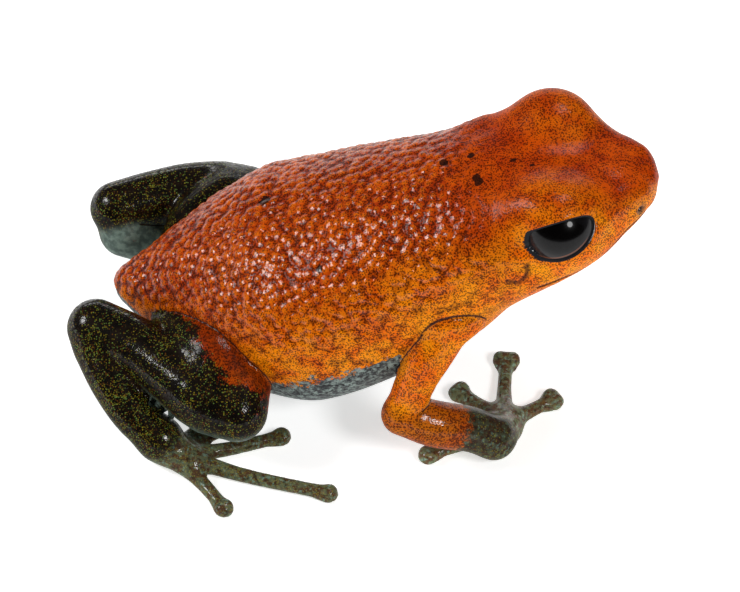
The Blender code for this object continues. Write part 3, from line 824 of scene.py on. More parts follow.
def form_distances(points, trunk):
    """Distance of points from each part of the body."""
    away = {"body": body_distance(points, trunk)}
    for name, limb in (("upper_arm", UPPER_ARM), ("forearm", FOREARM), ("thigh", THIGH), ("shank", SHANK),
                       ("tarsus", TARSUS), ("foot", BALL)):
        away[name] = np.minimum(*[limb_distance(points, limb[side]) for side in SIDES])
    for side in SIDES:
        root = ball_distance(points, on_side(ARM_ROOT[0], side), ARM_ROOT[1])
        away["upper_arm"] = blend(away["upper_arm"], root, DIGIT_BLEND)
    away["hand"] = np.full(len(points), FAR)
    for side in SIDES:
        palm = limb_distance(points, hand_stations(side), 8)
        palm = blend(palm, ball_distance(points, (*PALM[side], PALM_HEIGHT), PALM_HALF), DIGIT_BLEND)
        away["hand"] = np.minimum(away["hand"], palm)
    for name, digits in (("hand", FINGERS), ("foot", TOES)):
        for side in SIDES:
            for digit in digits[side]:
                away[name] = blend(away[name], digit_distance(points, *digit), DIGIT_BLEND)
    return away


def skin_distance(away):
    """Distance from the whole skin, with each part run softly into the next."""
    arm = blend(away["upper_arm"], away["forearm"], ELBOW_BLEND)
    arm = blend(arm, away["hand"], WRIST_BLEND)
    leg = blend(away["thigh"], away["shank"], KNEE_BLEND)
    lower_leg = blend(away["tarsus"], away["foot"], ANKLE_BLEND)
    leg = blend(leg, lower_leg, HEEL_BLEND)
    whole = blend(away["body"], arm, SHOULDER_BLEND)
    return blend(whole, leg, HIP_BLEND)


def draw_in(mesh, trunk, rounds):
    """Draw the skin onto the softly joined forms, and keep it even."""
    for _ in range(rounds):
        gap = skin_distance(form_distances(get_points(mesh), trunk))
        points = get_points(mesh) - get_normals(mesh) * np.clip(gap, -DRAW_LIMIT, DRAW_LIMIT)[:, None]
        set_points(mesh, points)
        soften(mesh, np.full(len(points), 0.6), 2)


def body_place(points):
    """The x of the place on the spine that is nearest to each point, and the angle round it from the back."""
    places = np.linspace(0.0, spine_lengths()[-1], SPINE_SPOTS)
    section, run, bend = spine_at(places)
    best = np.full(len(points), 1e9)
    pick = np.zeros(len(points), int)
    for i in range(len(places)):
        away = (points[:, 0] - section[i, 0]) ** 2 + (points[:, 2] - section[i, 1]) ** 2
        closer = away < best
        best[closer] = away[closer]
        pick[closer] = i
    ahead, above = points[:, 0] - section[pick, 0], points[:, 2] - section[pick, 1]
    height = above * run[pick, 0] - ahead * run[pick, 1]
    across = (points[:, 1] - bend[pick]) / section[pick, 2]
    height = height / np.where(height > 0.0, section[pick, 3], section[pick, 4])
    return section[pick, 0], np.arctan2(np.abs(across), height)


def shares_of(away):
    """How much each point belongs to each part of the body, from 0 to 1."""
    closest = np.min(list(away.values()), axis=0)
    share = {name: np.exp(-(value - closest) / PART_SOFTNESS) for name, value in away.items()}
    total = sum(share.values())
    return {name: value / total for name, value in share.items()}


def folds_of(mesh, away):
    """Where the skin folds in between two parts, from 0 to 1, and the distance from the fold's line."""
    arm, leg = away["upper_arm"], np.minimum(away["thigh"], away["shank"])
    lower_arm = np.minimum(away["forearm"], away["hand"])
    lower_leg = np.minimum(away["tarsus"], away["foot"])
    points = get_points(mesh)
    hollow = np.sum((neighbour_means(mesh, points) - points) * get_normals(mesh), axis=1)
    inner_elbow = smooth(1.2, 1.7, points[:, 0])
    before_heel = smooth(-10.0, -9.5, points[:, 0])
    pairs = (
        (away["body"], arm, 1.0), (away["body"], leg, 1.0),
        (arm, lower_arm, inner_elbow), (leg, lower_leg, before_heel),
    )
    fold, line, least = np.zeros(len(arm)), np.full(len(arm), FAR), np.full(len(arm), FAR)
    for first, second, share in pairs:
        gap = first - second
        near = 1.0 - smooth(0.10, 0.28, np.abs(first))
        fold = np.maximum(fold, share * near * (1.0 - smooth(0.10, 0.30, np.abs(gap))))
        cost = np.abs(gap) + np.abs(first)
        line = np.where(cost < least, gap, line)
        least = np.minimum(cost, least)
    return fold * smooth(0.001, 0.006, hollow), line


def paint(mesh, name, values):
    """Store a value at each vertex."""
    layer = mesh.attributes.new(name, "FLOAT", "POINT")
    layer.data.foreach_set("value", np.clip(values, 0.0, 1.0).astype(np.float32))


def thigh_patch(points, normals):
    """Where the upper leg is orange, from 0 to 1, on the flank's side of the thigh's line."""
    flat = np.stack((points[:, 0], -np.abs(points[:, 1])), axis=1)
    beyond = np.full(len(points), FAR)
    for start, end in zip(THIGH_LINE, THIGH_LINE[1:]):
        way = (end - start) / np.linalg.norm(end - start)
        beyond = np.minimum(beyond, (flat - start) @ (-way[1], way[0]))
    beyond -= np.where(points[:, 1] > 0.0, LEFT_THIGH_INSET, 0.0)
    return smooth(-0.60, 0.60, beyond) * smooth(-0.35, 0.25, normals[:, 2])


def dark_forearm(points):
    """How far the forearms have darkened towards the hands, from 0 to 1."""
    dark = np.zeros(len(points))
    for side in SIDES:
        line = limb_line(FOREARM[side], FOREARM_SPOTS)[:, :3]
        nearest = np.argmin([np.sum((points - spot) ** 2, axis=1) for spot in line], axis=0)
        reached = smooth(*WRIST_DARK, nearest / (FOREARM_SPOTS - 1.0))
        dark = np.maximum(dark, np.where(points[:, 1] * side > 0.0, reached, 0.0))
    return dark


def face_zones(points, lines):
    """Where the skin holds a black mark, painted shade along the mouth's line, the folds behind the eyes and
    in the nostrils, the dark rim of a lid or the grey round a nostril, each from 0 to 1.
    """
    ink, rim, pit = np.zeros((3, len(points)))
    for spot, (_, _, _, size) in zip(lines["marks"], MARKS):
        gap = np.linalg.norm(points - spot, axis=1)
        ink = np.maximum(ink, 1.0 - smooth(size * 0.25, size * 1.15, gap))
    # Painted shade along the mouth's line, the folds behind the eyes and in the nostrils.
    groove_and_nostril_shade = 0.95 * (1.0 - smooth(0.05, 0.12, distance_to_path(points, lines["mouth"])))
    for side in SIDES:
        groove_and_nostril_shade = np.maximum(groove_and_nostril_shade, 1.0 - smooth(0.04, 0.13, distance_to_path(points, lines["ear"][side])))
        edge, reach, level = opening_distance(points, side)
        rear = smooth(-0.60, -1.10, level)
        off = np.hypot(np.maximum(edge, 0.0), np.maximum(reach - EYE_RADIUS - LID_EDGE - LID_ROLL, 0.0))
        rim = np.maximum(rim, 1.0 - smooth(0.01 + 0.03 * rear, 0.055 + 0.04 * rear, off))
        gap = np.linalg.norm(points - lines["nostril"][side], axis=1)
        pit = np.maximum(pit, 1.0 - smooth(0.10, 0.34, gap))
        groove_and_nostril_shade = np.maximum(groove_and_nostril_shade, 1.0 - smooth(0.08, 0.15, gap))
    return {"ink": ink, "groove_and_nostril_shade": groove_and_nostril_shade, "rim": rim, "pit": pit}


def paint_zones(mesh, away, folds, crease, lines):
    """Store where each colour and grain of the skin lies."""
    points, normals = get_points(mesh), get_normals(mesh)
    part = shares_of(away)
    body = part["body"]
    x, angle = body_place(points)
    turn = np.degrees(angle)
    outward = np.sign(points[:, 1]) * normals[:, 1]
    patch = (part["thigh"] + part["shank"]) * thigh_patch(points, normals)
    leg = part["thigh"] + part["shank"] + part["tarsus"] + part["foot"] - patch
    inner = part["tarsus"] * smooth(0.1, 0.7, -outward)
    belly_edge = BELLY_EDGE + FLANK_DROP * smooth(0.0, 2.0, x) + THROAT_DROP * smooth(1.8, 3.4, x)
    crown = body * smooth(3.8, 4.8, x) * smooth(66.0, 40.0, turn)
    # From the back's deep orange to the flanks' bright orange: partly the frog's own hues, partly painted
    # shade on the back and painted light on the flanks.
    warmth_and_light = smooth(30.0, 92.0, turn) * body * (1.0 - 0.55 * smooth(-1.0, -7.0, x))
    warmth_and_light = warmth_and_light + 0.9 * part["upper_arm"] + 0.5 * part["forearm"] + 0.02 * patch
    for side in SIDES:
        gap = np.linalg.norm(points - on_side(EYE_CENTRE, side), axis=1)
        warmth_and_light = warmth_and_light + 0.35 * body * (1.0 - smooth(1.6, 2.4, gap))
    zones = {
        "leg": leg,
        # More specks on the lower legs and on the shank's downward sides, where the lighter skin partly
        # stands in for a painted highlight.
        "low_leg": part["tarsus"] + part["foot"] + part["shank"] * smooth(0.5, -0.2, normals[:, 2]),
        # Downward-facing leg skin and the inner tarsus: partly their own paler colour, partly painted light
        # thrown up by the pale floor.
        "under": np.maximum(leg * smooth(0.0, -0.7, normals[:, 2]), inner),
        "patch": patch,
        "forearm": part["forearm"],
        "dark_wrist": part["forearm"] * dark_forearm(points) + part["hand"],
        "hand": part["hand"],
        "foot": part["foot"],
        "belly": body * smooth(-12.0, 12.0, turn - belly_edge),
        "rump": body * smooth(-7.6, -9.6, x),
        "back": body * smooth(100.0, 62.0, turn) * smooth(6.2, 3.4, x),
        "flank": body * smooth(44.0, 80.0, turn) * smooth(124.0, 104.0, turn) * smooth(6.0, 3.4, x),
        "warmth_and_light": warmth_and_light,
        # Where painted shade lines the creases between parts.
        "fold": folds,
        "crease": 0.5 + crease / CREASE_RANGE,
        "wet": smooth(0.10, 0.75, normals[:, 2]) * (1.0 - 0.75 * crown - 0.6 * part["thigh"]),
        **face_zones(points, lines),
    }
    for name, values in zones.items():
        paint(mesh, name, values)


def sculpt(mesh, folds, lines):
    """Open the lids, and press in the mouth, nostrils and folds."""
    set_points(mesh, shape_lids(get_points(mesh)))
    points, normals = get_points(mesh), get_normals(mesh)
    away = distance_to_path(points, lines["mouth"])
    sink = MOUTH_DEPTH * np.exp(-(away / MOUTH_HALF_WIDTH) ** 2)
    sink -= LIP_SWELL * np.exp(-((away - LIP_OFFSET) / LIP_HALF_WIDTH) ** 2)
    sink += FOLD_DEPTH * folds
    for side in SIDES:
        away = distance_to_path(points, lines["ear"][side])
        sink += EAR_FOLD_DEPTH * np.exp(-(away / EAR_FOLD_HALF_WIDTH) ** 2)
        away = np.linalg.norm(points - lines["nostril"][side], axis=1)
        sink += NOSTRIL_DEPTH * np.exp(-(away / NOSTRIL_RADIUS) ** 2)
        sink -= NOSTRIL_RIM * np.exp(-((away - 0.25) / 0.08) ** 2)
    set_points(mesh, points - normals * sink[:, None])


def near_granules(points):
    """Whether points lie where the back or the tip of the snout needs a finer mesh."""
    x, angle = body_place(points)
    section, _, bend = spine_at(np.interp(x, BODY_SECTIONS[:, 0], spine_lengths()))
    on_body = np.abs(points[:, 1] - bend) < section[:, 2] + 0.25
    back = (x < 5.4) & (x > -9.7) & (angle < math.radians(78.0)) & on_body
    return back | (points[:, 0] > 9.8)


def near_details(points, lines):
    """Whether points lie where the face needs a finer mesh."""
    shaped = shape_lids(points)
    near = distance_to_path(shaped, lines["mouth"]) < 0.20
    for side in SIDES:
        edge, reach, _ = opening_distance(points, side)
        near |= (np.abs(edge) < 0.22) & (reach < 2.3)
        near |= distance_to_path(shaped, lines["ear"][side]) < 0.17
        near |= np.linalg.norm(shaped - lines["nostril"][side], axis=1) < 0.28
    return near


class Tree:
    """A node tree that is built by small named steps."""

    def __init__(self, tree):
        self.nodes = tree.nodes
        self.links = tree.links

    def put(self, value, socket):
        """Link an output to a socket, or set a plain value on it."""
        if isinstance(value, bpy.types.NodeSocket):
            self.links.new(value, socket)
        else:
            socket.default_value = value

    def fill(self, node, inputs):
        """Link or set a node's inputs, by name or number."""
        for name, value in inputs.items():
            self.put(value, node.inputs[name])
        return node

    def add(self, kind, inputs):
        """A new node with its inputs linked or set."""
        return self.fill(self.nodes.new(kind), inputs)

    def math(self, operation, first, second=0.0, clamp=False):
        """One step of arithmetic."""
        node = self.add("ShaderNodeMath", {0: first, 1: second})
        node.operation = operation
        node.use_clamp = clamp
        return node.outputs[0]

    def plus(self, first, second):
        """The sum of two values."""
        return self.math("ADD", first, second)

    def minus(self, first, second):
        """The difference of two values."""
        return self.math("SUBTRACT", first, second)

    def times(self, first, second):
        """The product of two values."""
        return self.math("MULTIPLY", first, second)


def uneven(tree, value):
    """Make a value larger in some places on the skin than in others."""
    place = tree.add("GeometryNodeInputPosition", {})
    blots = tree.add("ShaderNodeTexNoise", {"Vector": place.outputs[0], "Scale": 1.1, "Detail": 1.0})
    share = tree.add("ShaderNodeMapRange", {
        "Value": blots.outputs["Fac"], "From Min": 0.34, "From Max": 0.62, "To Min": 0.60, "To Max": 1.15,
    })
    return tree.times(value, share.outputs[0])


def add_bumps(tree, geometry, zone, spacing, height, seed, roundness):
    """Domes scattered over a zone of the skin: their value from 0 to 1, and how far they rise."""
    amount = tree.add("GeometryNodeInputNamedAttribute", {"Name": zone}).outputs["Attribute"]
    scatter = tree.nodes.new("GeometryNodeDistributePointsOnFaces")
    scatter.distribute_method = "POISSON"
    tree.fill(scatter, {
        "Mesh": geometry, "Selection": tree.math("GREATER_THAN", amount, 0.02), "Distance Min": spacing,
        "Density Max": 60.0, "Seed": seed,
    })
    nearest = tree.nodes.new("GeometryNodeProximity")
    nearest.target_element = "POINTS"
    tree.put(scatter.outputs["Points"], nearest.inputs[0])
    share = tree.math("DIVIDE", nearest.outputs["Distance"], tree.times(spacing, roundness), True)
    dome = tree.times(tree.minus(1.0, tree.math("POWER", share, 2.2)), amount)
    return dome, uneven(tree, tree.times(dome, height))


def grow_grain(group):
    """Fill a Geometry Nodes tree that raises granules on the back and pebbles on the flanks."""
    tree = Tree(group)
    entry = tree.add("NodeGroupInput", {}).outputs
    dome, rise = add_bumps(tree, entry["Skin"], "back", entry["Granule Spacing"], entry["Granule Height"],
                           entry["Seed"], GRANULE_ROUNDNESS)
    low_dome, low_rise = add_bumps(tree, entry["Skin"], "flank", entry["Pebble Spacing"],
                                   entry["Pebble Height"], entry["Seed"], PEBBLE_ROUNDNESS)
    push = tree.nodes.new("ShaderNodeVectorMath")
    push.operation = "SCALE"
    normal = tree.add("GeometryNodeInputNormal", {})
    tree.fill(push, {0: normal.outputs[0], "Scale": tree.plus(rise, low_rise)})
    current = entry["Skin"]
    for name, value in (("granule", dome), ("pebble", low_dome)):
        store = tree.nodes.new("GeometryNodeStoreNamedAttribute")
        store.data_type = "FLOAT"
        store.domain = "POINT"
        current = tree.fill(store, {"Geometry": current, "Name": name, "Value": value}).outputs[0]
    move = tree.add("GeometryNodeSetPosition", {"Geometry": current, "Offset": push.outputs[0]})
    real = tree.add("GeometryNodeRealizeInstances", {0: move.outputs[0]}).outputs[0]
    finish = tree.add("GeometryNodeSetMaterial", {"Geometry": real, "Material": entry["Skin Finish"]})
    tree.add("NodeGroupOutput", {0: finish.outputs[0]})


def raise_granules(made, finish):
    """Give the skin its granules and its finish."""
    values = {
        "Granule Spacing": ("NodeSocketFloat", GRANULE_SPACING),
        "Granule Height": ("NodeSocketFloat", GRANULE_HEIGHT),
        "Pebble Spacing": ("NodeSocketFloat", PEBBLE_SPACING),
        "Pebble Height": ("NodeSocketFloat", PEBBLE_HEIGHT),
        "Seed": ("NodeSocketInt", GRAIN_SEED),
        "Skin Finish": ("NodeSocketMaterial", finish),
    }
    group = bpy.data.node_groups.new("granular skin", "GeometryNodeTree")
    sockets = group.interface
    for way in ("INPUT", "OUTPUT"):
        sockets.new_socket(name="Skin", in_out=way, socket_type="NodeSocketGeometry")
    names = {
        name: sockets.new_socket(name=name, in_out="INPUT", socket_type=kind).identifier
        for name, (kind, _) in values.items()
    }
    grow_grain(group)
    step = made.modifiers.new("granules", "NODES")
    step.node_group = group
    for name, (_, value) in values.items():
        step[names[name]] = value
    take_evaluated(made)
    made.data.materials.clear()
    made.data.materials.append(finish)


def tint(name):
    """A colour of the palette in the renderer's linear values."""
    shown = np.array(PALETTE[name]) / 255.0
    linear = np.where(shown <= 0.04045, shown / 12.92, ((shown + 0.055) / 1.055) ** 2.4)
    return (*linear.tolist(), 1.0)


class Finish(Tree):
    """A material that is painted by small named steps."""

    def __init__(self, name):
        self.material = bpy.data.materials.new(name)
        self.material.use_nodes = True
        super().__init__(self.material.node_tree)
        self.shader = self.nodes["Principled BSDF"]
        self.place = self.nodes.new("ShaderNodeTexCoord").outputs["Object"]

    def zone(self, name):
        """A value stored on the mesh."""
        node = self.nodes.new("ShaderNodeAttribute")
        node.attribute_name = name
        return node.outputs["Fac"]

    def noise(self, size, detail=3.0, roughness=0.55):
        """Soft noise whose blots measure about size millimetres, from 0 to 1."""
        inputs = {"Scale": 1.0 / (size * MILLIMETRE), "Detail": detail, "Roughness": roughness}
        return self.add("ShaderNodeTexNoise", {"Vector": self.place, **inputs}).outputs["Fac"]

    def pattern(self, size, feature):
        """A pattern of cells of about size millimetres."""
        node = self.nodes.new("ShaderNodeTexVoronoi")
        node.feature = feature
        return self.fill(node, {"Vector": self.place, "Scale": 1.0 / (size * MILLIMETRE)}).outputs

    def cells(self, size):
        """Distance to the middle of cells, and two chance values for each cell."""
        shown = self.pattern(size, "F1")
        chance = self.add("ShaderNodeSeparateColor", {0: shown["Color"]}).outputs
        return shown["Distance"], chance["Red"], chance["Green"]

    def step(self, value, low, high, bottom=0.0, top=1.0):
        """A smooth step between two values."""
        node = self.nodes.new("ShaderNodeMapRange")
        node.interpolation_type = "SMOOTHSTEP"
        inputs = {"Value": value, "From Min": low, "From Max": high, "To Min": bottom, "To Max": top}
        return self.fill(node, inputs).outputs[0]

    def mix(self, share, first, second):
        """A colour between two others, each an output or the name of a colour of the palette."""
        node = self.nodes.new("ShaderNodeMix")
        node.data_type = "RGBA"
        colours = [tint(colour) if isinstance(colour, str) else colour for colour in (first, second)]
        return self.fill(node, {"Factor": share, 6: colours[0], 7: colours[1]}).outputs[2]

    def ragged(self, zone, noise, amount, soft=0.08):
        """A zone whose edge is broken up by noise."""
        moved = self.plus(zone, self.times(self.minus(noise, 0.5), amount))
        return self.step(moved, 0.5 - soft, 0.5 + soft)


def orange_skin(skin, blots, tops, valley):
    """Deep orange on the back and yellow on the flanks and jaw, partly the frog's own hues and partly painted
    shade and painted light, with painted light on top of each granule and painted shade between them.
    """
    zone, mix, times, step = skin.zone, skin.mix, skin.times, skin.step
    patches = skin.times(skin.minus(skin.noise(2.6, 2.0), 0.5), 0.45)
    warmth_and_light = skin.math("ADD", zone("warmth_and_light"), patches, True)
    deep = mix(step(blots, 0.35, 0.68), "deep orange", "back orange")
    bright = mix(step(blots, 0.32, 0.66), "flank orange", "jaw yellow")
    orange = mix(warmth_and_light, deep, bright)
    # Painted shade in the valleys between the granules, and painted light on the granule tops.
    orange = mix(times(valley, 0.42), orange, "painted valley shade")
    orange = mix(times(step(tops, 0.55, 0.98), 0.22), orange, "painted granule top light")
    orange = mix(times(zone("forearm"), 0.45), orange, "forearm brown")
    orange = mix(times(zone("patch"), 0.75), orange, "thigh orange")
    mottle = times(step(skin.noise(0.24, 3.0), 0.46, 0.62), zone("patch"))
    return mix(times(mottle, 0.6), orange, "thigh mottle")


def stipple(skin, near, chance, blots, valley):
    """Fine black dots in two sizes, denser on the forearms and larger between the granules, where they add to
    the painted shade of the valleys.
    """
    times, step = skin.times, skin.step
    size = step(blots, 0.30, 0.70, 0.56, 0.44)
    size = skin.plus(size, times(valley, 0.12))
    size = skin.plus(size, times(skin.zone("forearm"), 0.08))
    dots = step(near, skin.minus(size, 0.16), skin.plus(size, 0.06), 1.0, 0.0)
    dots = times(dots, step(chance, 0.02, 0.18))
    near_small, chance_small, _ = skin.cells(0.052)
    small = times(step(near_small, 0.28, 0.52, 1.0, 0.0), step(chance_small, 0.35, 0.6))
    return skin.math("MAXIMUM", times(dots, 0.82), times(small, 0.45))


def add_belly(skin, colour, fine, tops):
    """Blue-grey belly with teal mottling and a ragged edge, and a grey rump."""
    zone, mix, times, step = skin.zone, skin.mix, skin.times, skin.step
    teal = mix(step(skin.noise(0.22, 5.0, 0.68), 0.42, 0.62), "belly grey", "belly teal")
    teal = mix(step(fine, 0.48, 0.70), teal, "belly dark")
    belly = skin.ragged(zone("belly"), skin.noise(1.3, 6.0, 0.72), 3.2, 0.05)
    belly = times(belly, step(zone("belly"), 0.0, 0.04))
    rump = times(times(zone("rump"), step(tops, 0.65, 0.25)), 0.5)
    return mix(rump, mix(belly, colour, teal), "rump grey")


def leg_specks(skin):
    """Dense specks of the dark legs, from 0 to 1, and their green, olive and gold colours."""
    mix, times, step = skin.mix, skin.times, skin.step
    speck, pick, shade = skin.cells(0.062)
    colours = mix(step(shade, 0.25, 0.45), "gold speck", "olive speck")
    colours = mix(step(shade, 0.62, 0.80), colours, "green speck")
    dense = step(skin.noise(0.9, 3.0), 0.36, 0.66, 0.70, 0.24)
    # Denser specks on the lower legs and the shank's downward sides, partly a painted highlight.
    dense = skin.minus(dense, times(skin.zone("low_leg"), 0.30))
    specks = times(step(speck, 0.30, 0.58, 1.0, 0.0), step(pick, dense, skin.plus(dense, 0.25)))
    return times(specks, step(skin.noise(0.25, 2.0), 0.35, 0.60, 0.45, 1.0)), colours


def dark_leg(skin, specks, speck_colours):
    """Black-brown legs with specks, and grey-teal on their downward sides and the inner tarsus, partly the
    legs' own paler underside and partly painted light from the pale floor.
    """
    mix, step = skin.mix, skin.step
    dark = mix(step(skin.noise(0.5), 0.40, 0.65), "leg black", "leg brown")
    under = mix(step(skin.noise(0.3), 0.40, 0.66), "underside grey with floor light", "underside teal with floor light")
    return mix(skin.zone("under"), mix(specks, dark, speck_colours), under)


def hand_colours(skin, specks, fine):
    """Hands and feet: grey-green and brown with teal patches."""
    mix, step = skin.mix, skin.step
    brown = mix(step(skin.noise(0.24, 3.0), 0.42, 0.58), "hand brown", "hand green")
    brown = mix(step(skin.noise(0.17, 2.0), 0.56, 0.68), brown, "hand teal")
    brown = mix(skin.times(specks, 0.5), brown, "hand gold")
    return mix(step(fine, 0.48, 0.70, 0.0, 0.70), brown, "hand dark")


def add_black_details(skin, colour, fine):
    """Black marks, the grey round the nostrils, painted shade in the nostrils, along the mouth's line, in the
    folds behind the eyes and in the creases between parts, and the thin dark edge of the lids.
    """
    zone, mix, times, step = skin.zone, skin.mix, skin.times, skin.step
    mark = skin.ragged(zone("ink"), skin.noise(0.20, 3.0), 1.3, 0.1)
    colour = mix(times(mark, 0.92), colour, "black mark")
    colour = mix(times(zone("pit"), 0.8), colour, "nostril grey")
    # Painted shade in the mouth's line, the folds behind the eyes and the nostrils.
    colour = mix(times(zone("groove_and_nostril_shade"), 0.95), colour, "painted groove shade")
    # Painted shade along the creases between parts.
    off = skin.math("ABSOLUTE", skin.minus(zone("crease"), 0.5))
    line = times(step(off, 0.03, 0.09, 0.9, 0.0), step(zone("fold"), 0.1, 0.5))
    colour = mix(line, colour, "painted crease shade")
    return mix(skin.ragged(zone("rim"), fine, 0.15, 0.2), colour, "lid black")


def add_wet_gloss(skin, near, valley):
    """Gloss where the skin faces up and is wet, and the fine relief that breaks up the highlights."""
    zone, times, minus = skin.zone, skin.times, skin.minus
    edge = skin.pattern(0.20, "DISTANCE_TO_EDGE")["Distance"]
    grooves = times(minus(1.0, skin.step(edge, 0.02, 0.12)), zone("leg"))
    coat = times(skin.step(zone("wet"), 0.0, 1.0, 0.02, 0.54), minus(1.0, grooves))
    coat = times(coat, minus(1.0, times(valley, 0.75)))
    relief = skin.plus(times(skin.noise(0.30, 2.0), 0.012), times(near, -0.006))
    relief = times(relief, minus(1.0, times(zone("leg"), 0.75)))
    relief = minus(relief, times(grooves, 0.0015))
    bump = skin.add("ShaderNodeBump", {"Distance": MILLIMETRE, "Height": relief}).outputs[0]
    skin.fill(skin.shader, {
        "Roughness": 0.45, "Specular IOR Level": 0.05, "Normal": bump,
        "Coat Weight": coat, "Coat IOR": 1.6, "Coat Roughness": 0.035, "Coat Normal": bump,
    })


def skin_finish():
    """Wet skin: orange with black stipple, dark speckled legs, grey-green hands and a blue-grey belly."""
    skin = Finish("frog_skin")
    zone, mix = skin.zone, skin.mix
    blots = skin.noise(0.9, 3.0)
    fine = skin.noise(0.16, 2.0)
    near, chance, _ = skin.cells(0.074)
    tops = skin.math("MAXIMUM", zone("granule"), zone("pebble"))
    grained = skin.math("MAXIMUM", zone("back"), zone("flank"))
    # The valleys between the granules, where painted shade falls and the gloss is less.
    valley = skin.times(grained, skin.step(tops, 0.15, 0.60, 1.0, 0.0))
    colour = orange_skin(skin, blots, tops, valley)
    colour = mix(stipple(skin, near, chance, blots, valley), colour, "stipple")
    colour = add_belly(skin, colour, fine, tops)
    specks, speck_colours = leg_specks(skin)
    leg_colour = dark_leg(skin, specks, speck_colours)
    colour = mix(skin.ragged(zone("leg"), skin.noise(0.5, 5.0, 0.75), 2.2, 0.12), colour, leg_colour)
    brown = hand_colours(skin, specks, fine)
    wrist = skin.ragged(zone("dark_wrist"), skin.noise(0.18, 5.0, 0.8), 1.9, 0.16)
    colour = mix(wrist, colour, mix(0.25, leg_colour, brown))
    colour = mix(zone("hand"), colour, brown)
    colour = mix(skin.times(zone("foot"), 0.55), colour, brown)
    skin.put(add_black_details(skin, colour, fine), skin.shader.inputs["Base Color"])
    add_wet_gloss(skin, near, valley)
    return skin.material


def eye_finish():
    """A polished near-black eye: oval pupil, dark grey iris, a thin copper line inside the lower lid and
    painted shade where the lids meet the ball.
    """
    eye = Finish("frog_eye")
    mix, step, math_step = eye.mix, eye.step, eye.math
    upward = eye.zone("eye_up")
    level, rise = eye.minus(eye.zone("eye_across"), 0.5), eye.minus(upward, 0.5)

    def ring(wide, tall):
        """1 on an oval of these half sizes, in shares of the ball's radius."""
        first = math_step("POWER", math_step("DIVIDE", level, wide / 2.0), 2.0)
        second = math_step("POWER", math_step("DIVIDE", rise, tall / 2.0), 2.0)
        return math_step("SQRT", eye.plus(first, second))

    pupil = step(ring(0.60, 0.26), 0.94, 1.06, 1.0, 0.0)
    iris = mix(step(eye.noise(0.12, 3.0), 0.35, 0.7), "iris", "iris fleck")
    iris = mix(step(ring(1.0, 1.0), 0.55, 0.95), iris, "iris edge")
    inside = eye.zone("eye_edge")
    copper = eye.times(step(inside, 0.22, 0.30), step(inside, 0.40, 0.48, 1.0, 0.0))
    copper = eye.times(copper, step(upward, 0.30, 0.42, 0.5, 0.0))
    colour = mix(pupil, mix(copper, iris, "copper"), "pupil")
    # Painted shade on the eyeball where the lids meet it.
    colour = mix(step(inside, 0.0, 0.14, 0.9, 0.0), colour, "painted lid shade on eye")
    eye.fill(eye.shader, {
        "Base Color": colour, "Roughness": 0.28, "Specular IOR Level": 0.05,
        "Coat Weight": 0.6, "Coat IOR": 1.33, "Coat Roughness": 0.02,
    })
    return eye.material


def make_eye(side, finish):
    """An eyeball with its pupil's place stored on it."""
    form = bmesh.new()
    add_ball(form, (0.0, 0.0, 0.0), (EYE_RADIUS, EYE_RADIUS, EYE_RADIUS), 0.0, EYE_SEGMENTS, EYE_RINGS)
    bmesh.ops.recalc_face_normals(form, faces=form.faces)
    made = mesh_object("eyeball_right" if side == RIGHT else "eyeball_left", form)
    forward, upward, outward = eye_axes(side, GAZE_LIFT)
    points = get_points(made.data)
    for name, way in (("eye_across", forward), ("eye_up", upward)):
        place = points @ way / EYE_RADIUS / 2.0 + 0.5
        paint(made.data, name, np.where(points @ outward > 0.0, place, 1.0))
    made.data.transform(Matrix.Translation(on_side(EYE_CENTRE, side)))
    edge, _, _ = opening_distance(get_points(made.data), side)
    paint(made.data, "eye_edge", -edge / EYE_EDGE_RANGE)
    made.data.materials.append(finish)
    made.data.shade_smooth()
    return made


def make_skin(finish):
    """The one skin of the frog."""
    trunk = trunk_tree()
    made = mesh_object("frog_skin", flesh())
    fuse(made)
    soften(made.data, np.ones(len(made.data.vertices)), 4)
    draw_in(made.data, trunk, 4)
    lines = face_lines(made.data)
    refine(made, near_granules, 1)
    refine(made, lambda points: near_details(points, lines), 2)
    draw_in(made.data, trunk, 1)
    away = form_distances(get_points(made.data), trunk)
    folds, crease = folds_of(made.data, away)
    sculpt(made.data, folds * np.exp(-(crease / FOLD_HALF_WIDTH) ** 2), lines)
    paint_zones(made.data, away, folds, crease, lines)
    raise_granules(made, finish)
    points = get_points(made.data)
    points[:, 2] = np.maximum(points[:, 2], 0.0)
    set_points(made.data, points)
    made.data.shade_smooth()
    return made


def settle(made):
    """Move a finished mesh from the maker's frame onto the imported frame, in metres."""
    low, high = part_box("eye_right")
    shift = np.array((low + high) / 2.0) / MILLIMETRE - on_side(CAD_EYE, RIGHT)
    made.data.transform(Matrix.Scale(MILLIMETRE, 4) @ Matrix.Translation(shift))
    made.data.update()
    return shift


def add_floor():
    """A plain pale floor."""
    form = bmesh.new()
    bmesh.ops.create_grid(form, x_segments=1, y_segments=1, size=0.6)
    made = mesh_object("studio_floor", form)
    floor = Finish("pale_floor")
    tone = floor.mix(floor.noise(40.0, 1.0), (0.93, 0.93, 0.93, 1.0), (0.95, 0.95, 0.95, 1.0))
    floor.fill(floor.shader, {
        "Base Color": tone, "Roughness": 0.9, "Specular IOR Level": 0.0,
        "Emission Color": (1.0, 1.0, 1.0, 1.0), "Emission Strength": FLOOR_GLOW,
    })
    made.data.materials.append(floor.material)


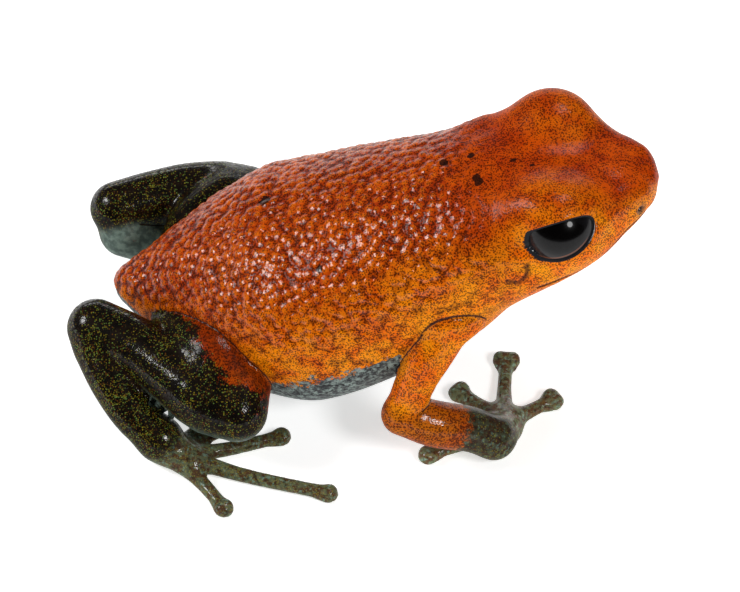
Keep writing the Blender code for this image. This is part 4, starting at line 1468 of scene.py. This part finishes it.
def add_softbox(name, azimuth, lift, distance, size, power):
    """A softbox that faces the frog, round from its right side by the azimuth. Size is wide by tall."""
    lamp = bpy.data.lights.new(name, "AREA")
    lamp.shape = "ELLIPSE"
    lamp.size = size[0] * MILLIMETRE
    lamp.size_y = size[1] * MILLIMETRE
    lamp.energy = power
    turn, tip = math.radians(azimuth), math.radians(lift)
    way = Vector((math.sin(turn) * math.cos(tip), -math.cos(turn) * math.cos(tip), math.sin(tip)))
    made = bpy.data.objects.new(name, lamp)
    made.location = Vector((0.0, 0.0, 0.005)) + way * distance * MILLIMETRE
    made.rotation_euler = way.to_track_quat("Z", "Y").to_euler()
    bpy.context.scene.collection.objects.link(made)


def add_lights():
    """Plain soft studio light."""
    add_softbox("key_softbox", 45.0, 44.0, 200.0, (56.0, 56.0), 0.165)
    add_softbox("left_softbox", -92.0, 41.0, 200.0, (96.0, 66.0), 0.22)
    add_softbox("top_softbox", 140.0, 66.0, 200.0, (60.0, 60.0), 0.09)
    add_softbox("back_card", 180.0, 12.0, 240.0, (300.0, 44.0), 0.09)
    world = bpy.data.worlds.new("studio")
    world.use_nodes = True
    world.node_tree.nodes["Background"].inputs["Color"].default_value = (1.0, 1.0, 1.0, 1.0)
    world.node_tree.nodes["Background"].inputs["Strength"].default_value = 0.04
    bpy.context.scene.world = world
    bpy.context.scene.view_settings.view_transform = "Standard"


def add_camera(shift):
    """The photo's view."""
    camera = bpy.data.cameras.new("photo_view")
    camera.sensor_width = SENSOR
    camera.lens = SENSOR * VIEW_DISTANCE / FRAME_WIDTH
    camera.clip_start = 0.01
    camera.clip_end = 10.0
    back = np.array((0.0, -math.cos(VIEW_LIFT), math.sin(VIEW_LIFT)))
    made = bpy.data.objects.new("photo_view", camera)
    made.location = (VIEW_TARGET + shift + back * VIEW_DISTANCE) * MILLIMETRE
    made.rotation_euler = Vector(back).to_track_quat("Z", "Y").to_euler()
    bpy.context.scene.collection.objects.link(made)
    bpy.context.scene.camera = made


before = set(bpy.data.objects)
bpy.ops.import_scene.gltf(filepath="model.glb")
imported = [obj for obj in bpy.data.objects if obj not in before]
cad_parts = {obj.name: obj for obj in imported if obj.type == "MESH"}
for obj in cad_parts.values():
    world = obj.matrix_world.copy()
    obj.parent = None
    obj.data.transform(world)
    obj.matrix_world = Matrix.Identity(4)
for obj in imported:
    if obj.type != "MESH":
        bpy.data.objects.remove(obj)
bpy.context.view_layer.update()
skin = make_skin(skin_finish())
shift = settle(skin)
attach(skin, "root")
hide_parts(*[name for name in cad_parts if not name.startswith("eye_")])
polish = eye_finish()
for side, node in ((RIGHT, "eye_right"), (LEFT, "eye_left")):
    eyeball = make_eye(side, polish)
    settle(eyeball)
    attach(eyeball, "root")
    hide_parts(node)
add_floor()
add_lights()
add_camera(shift)
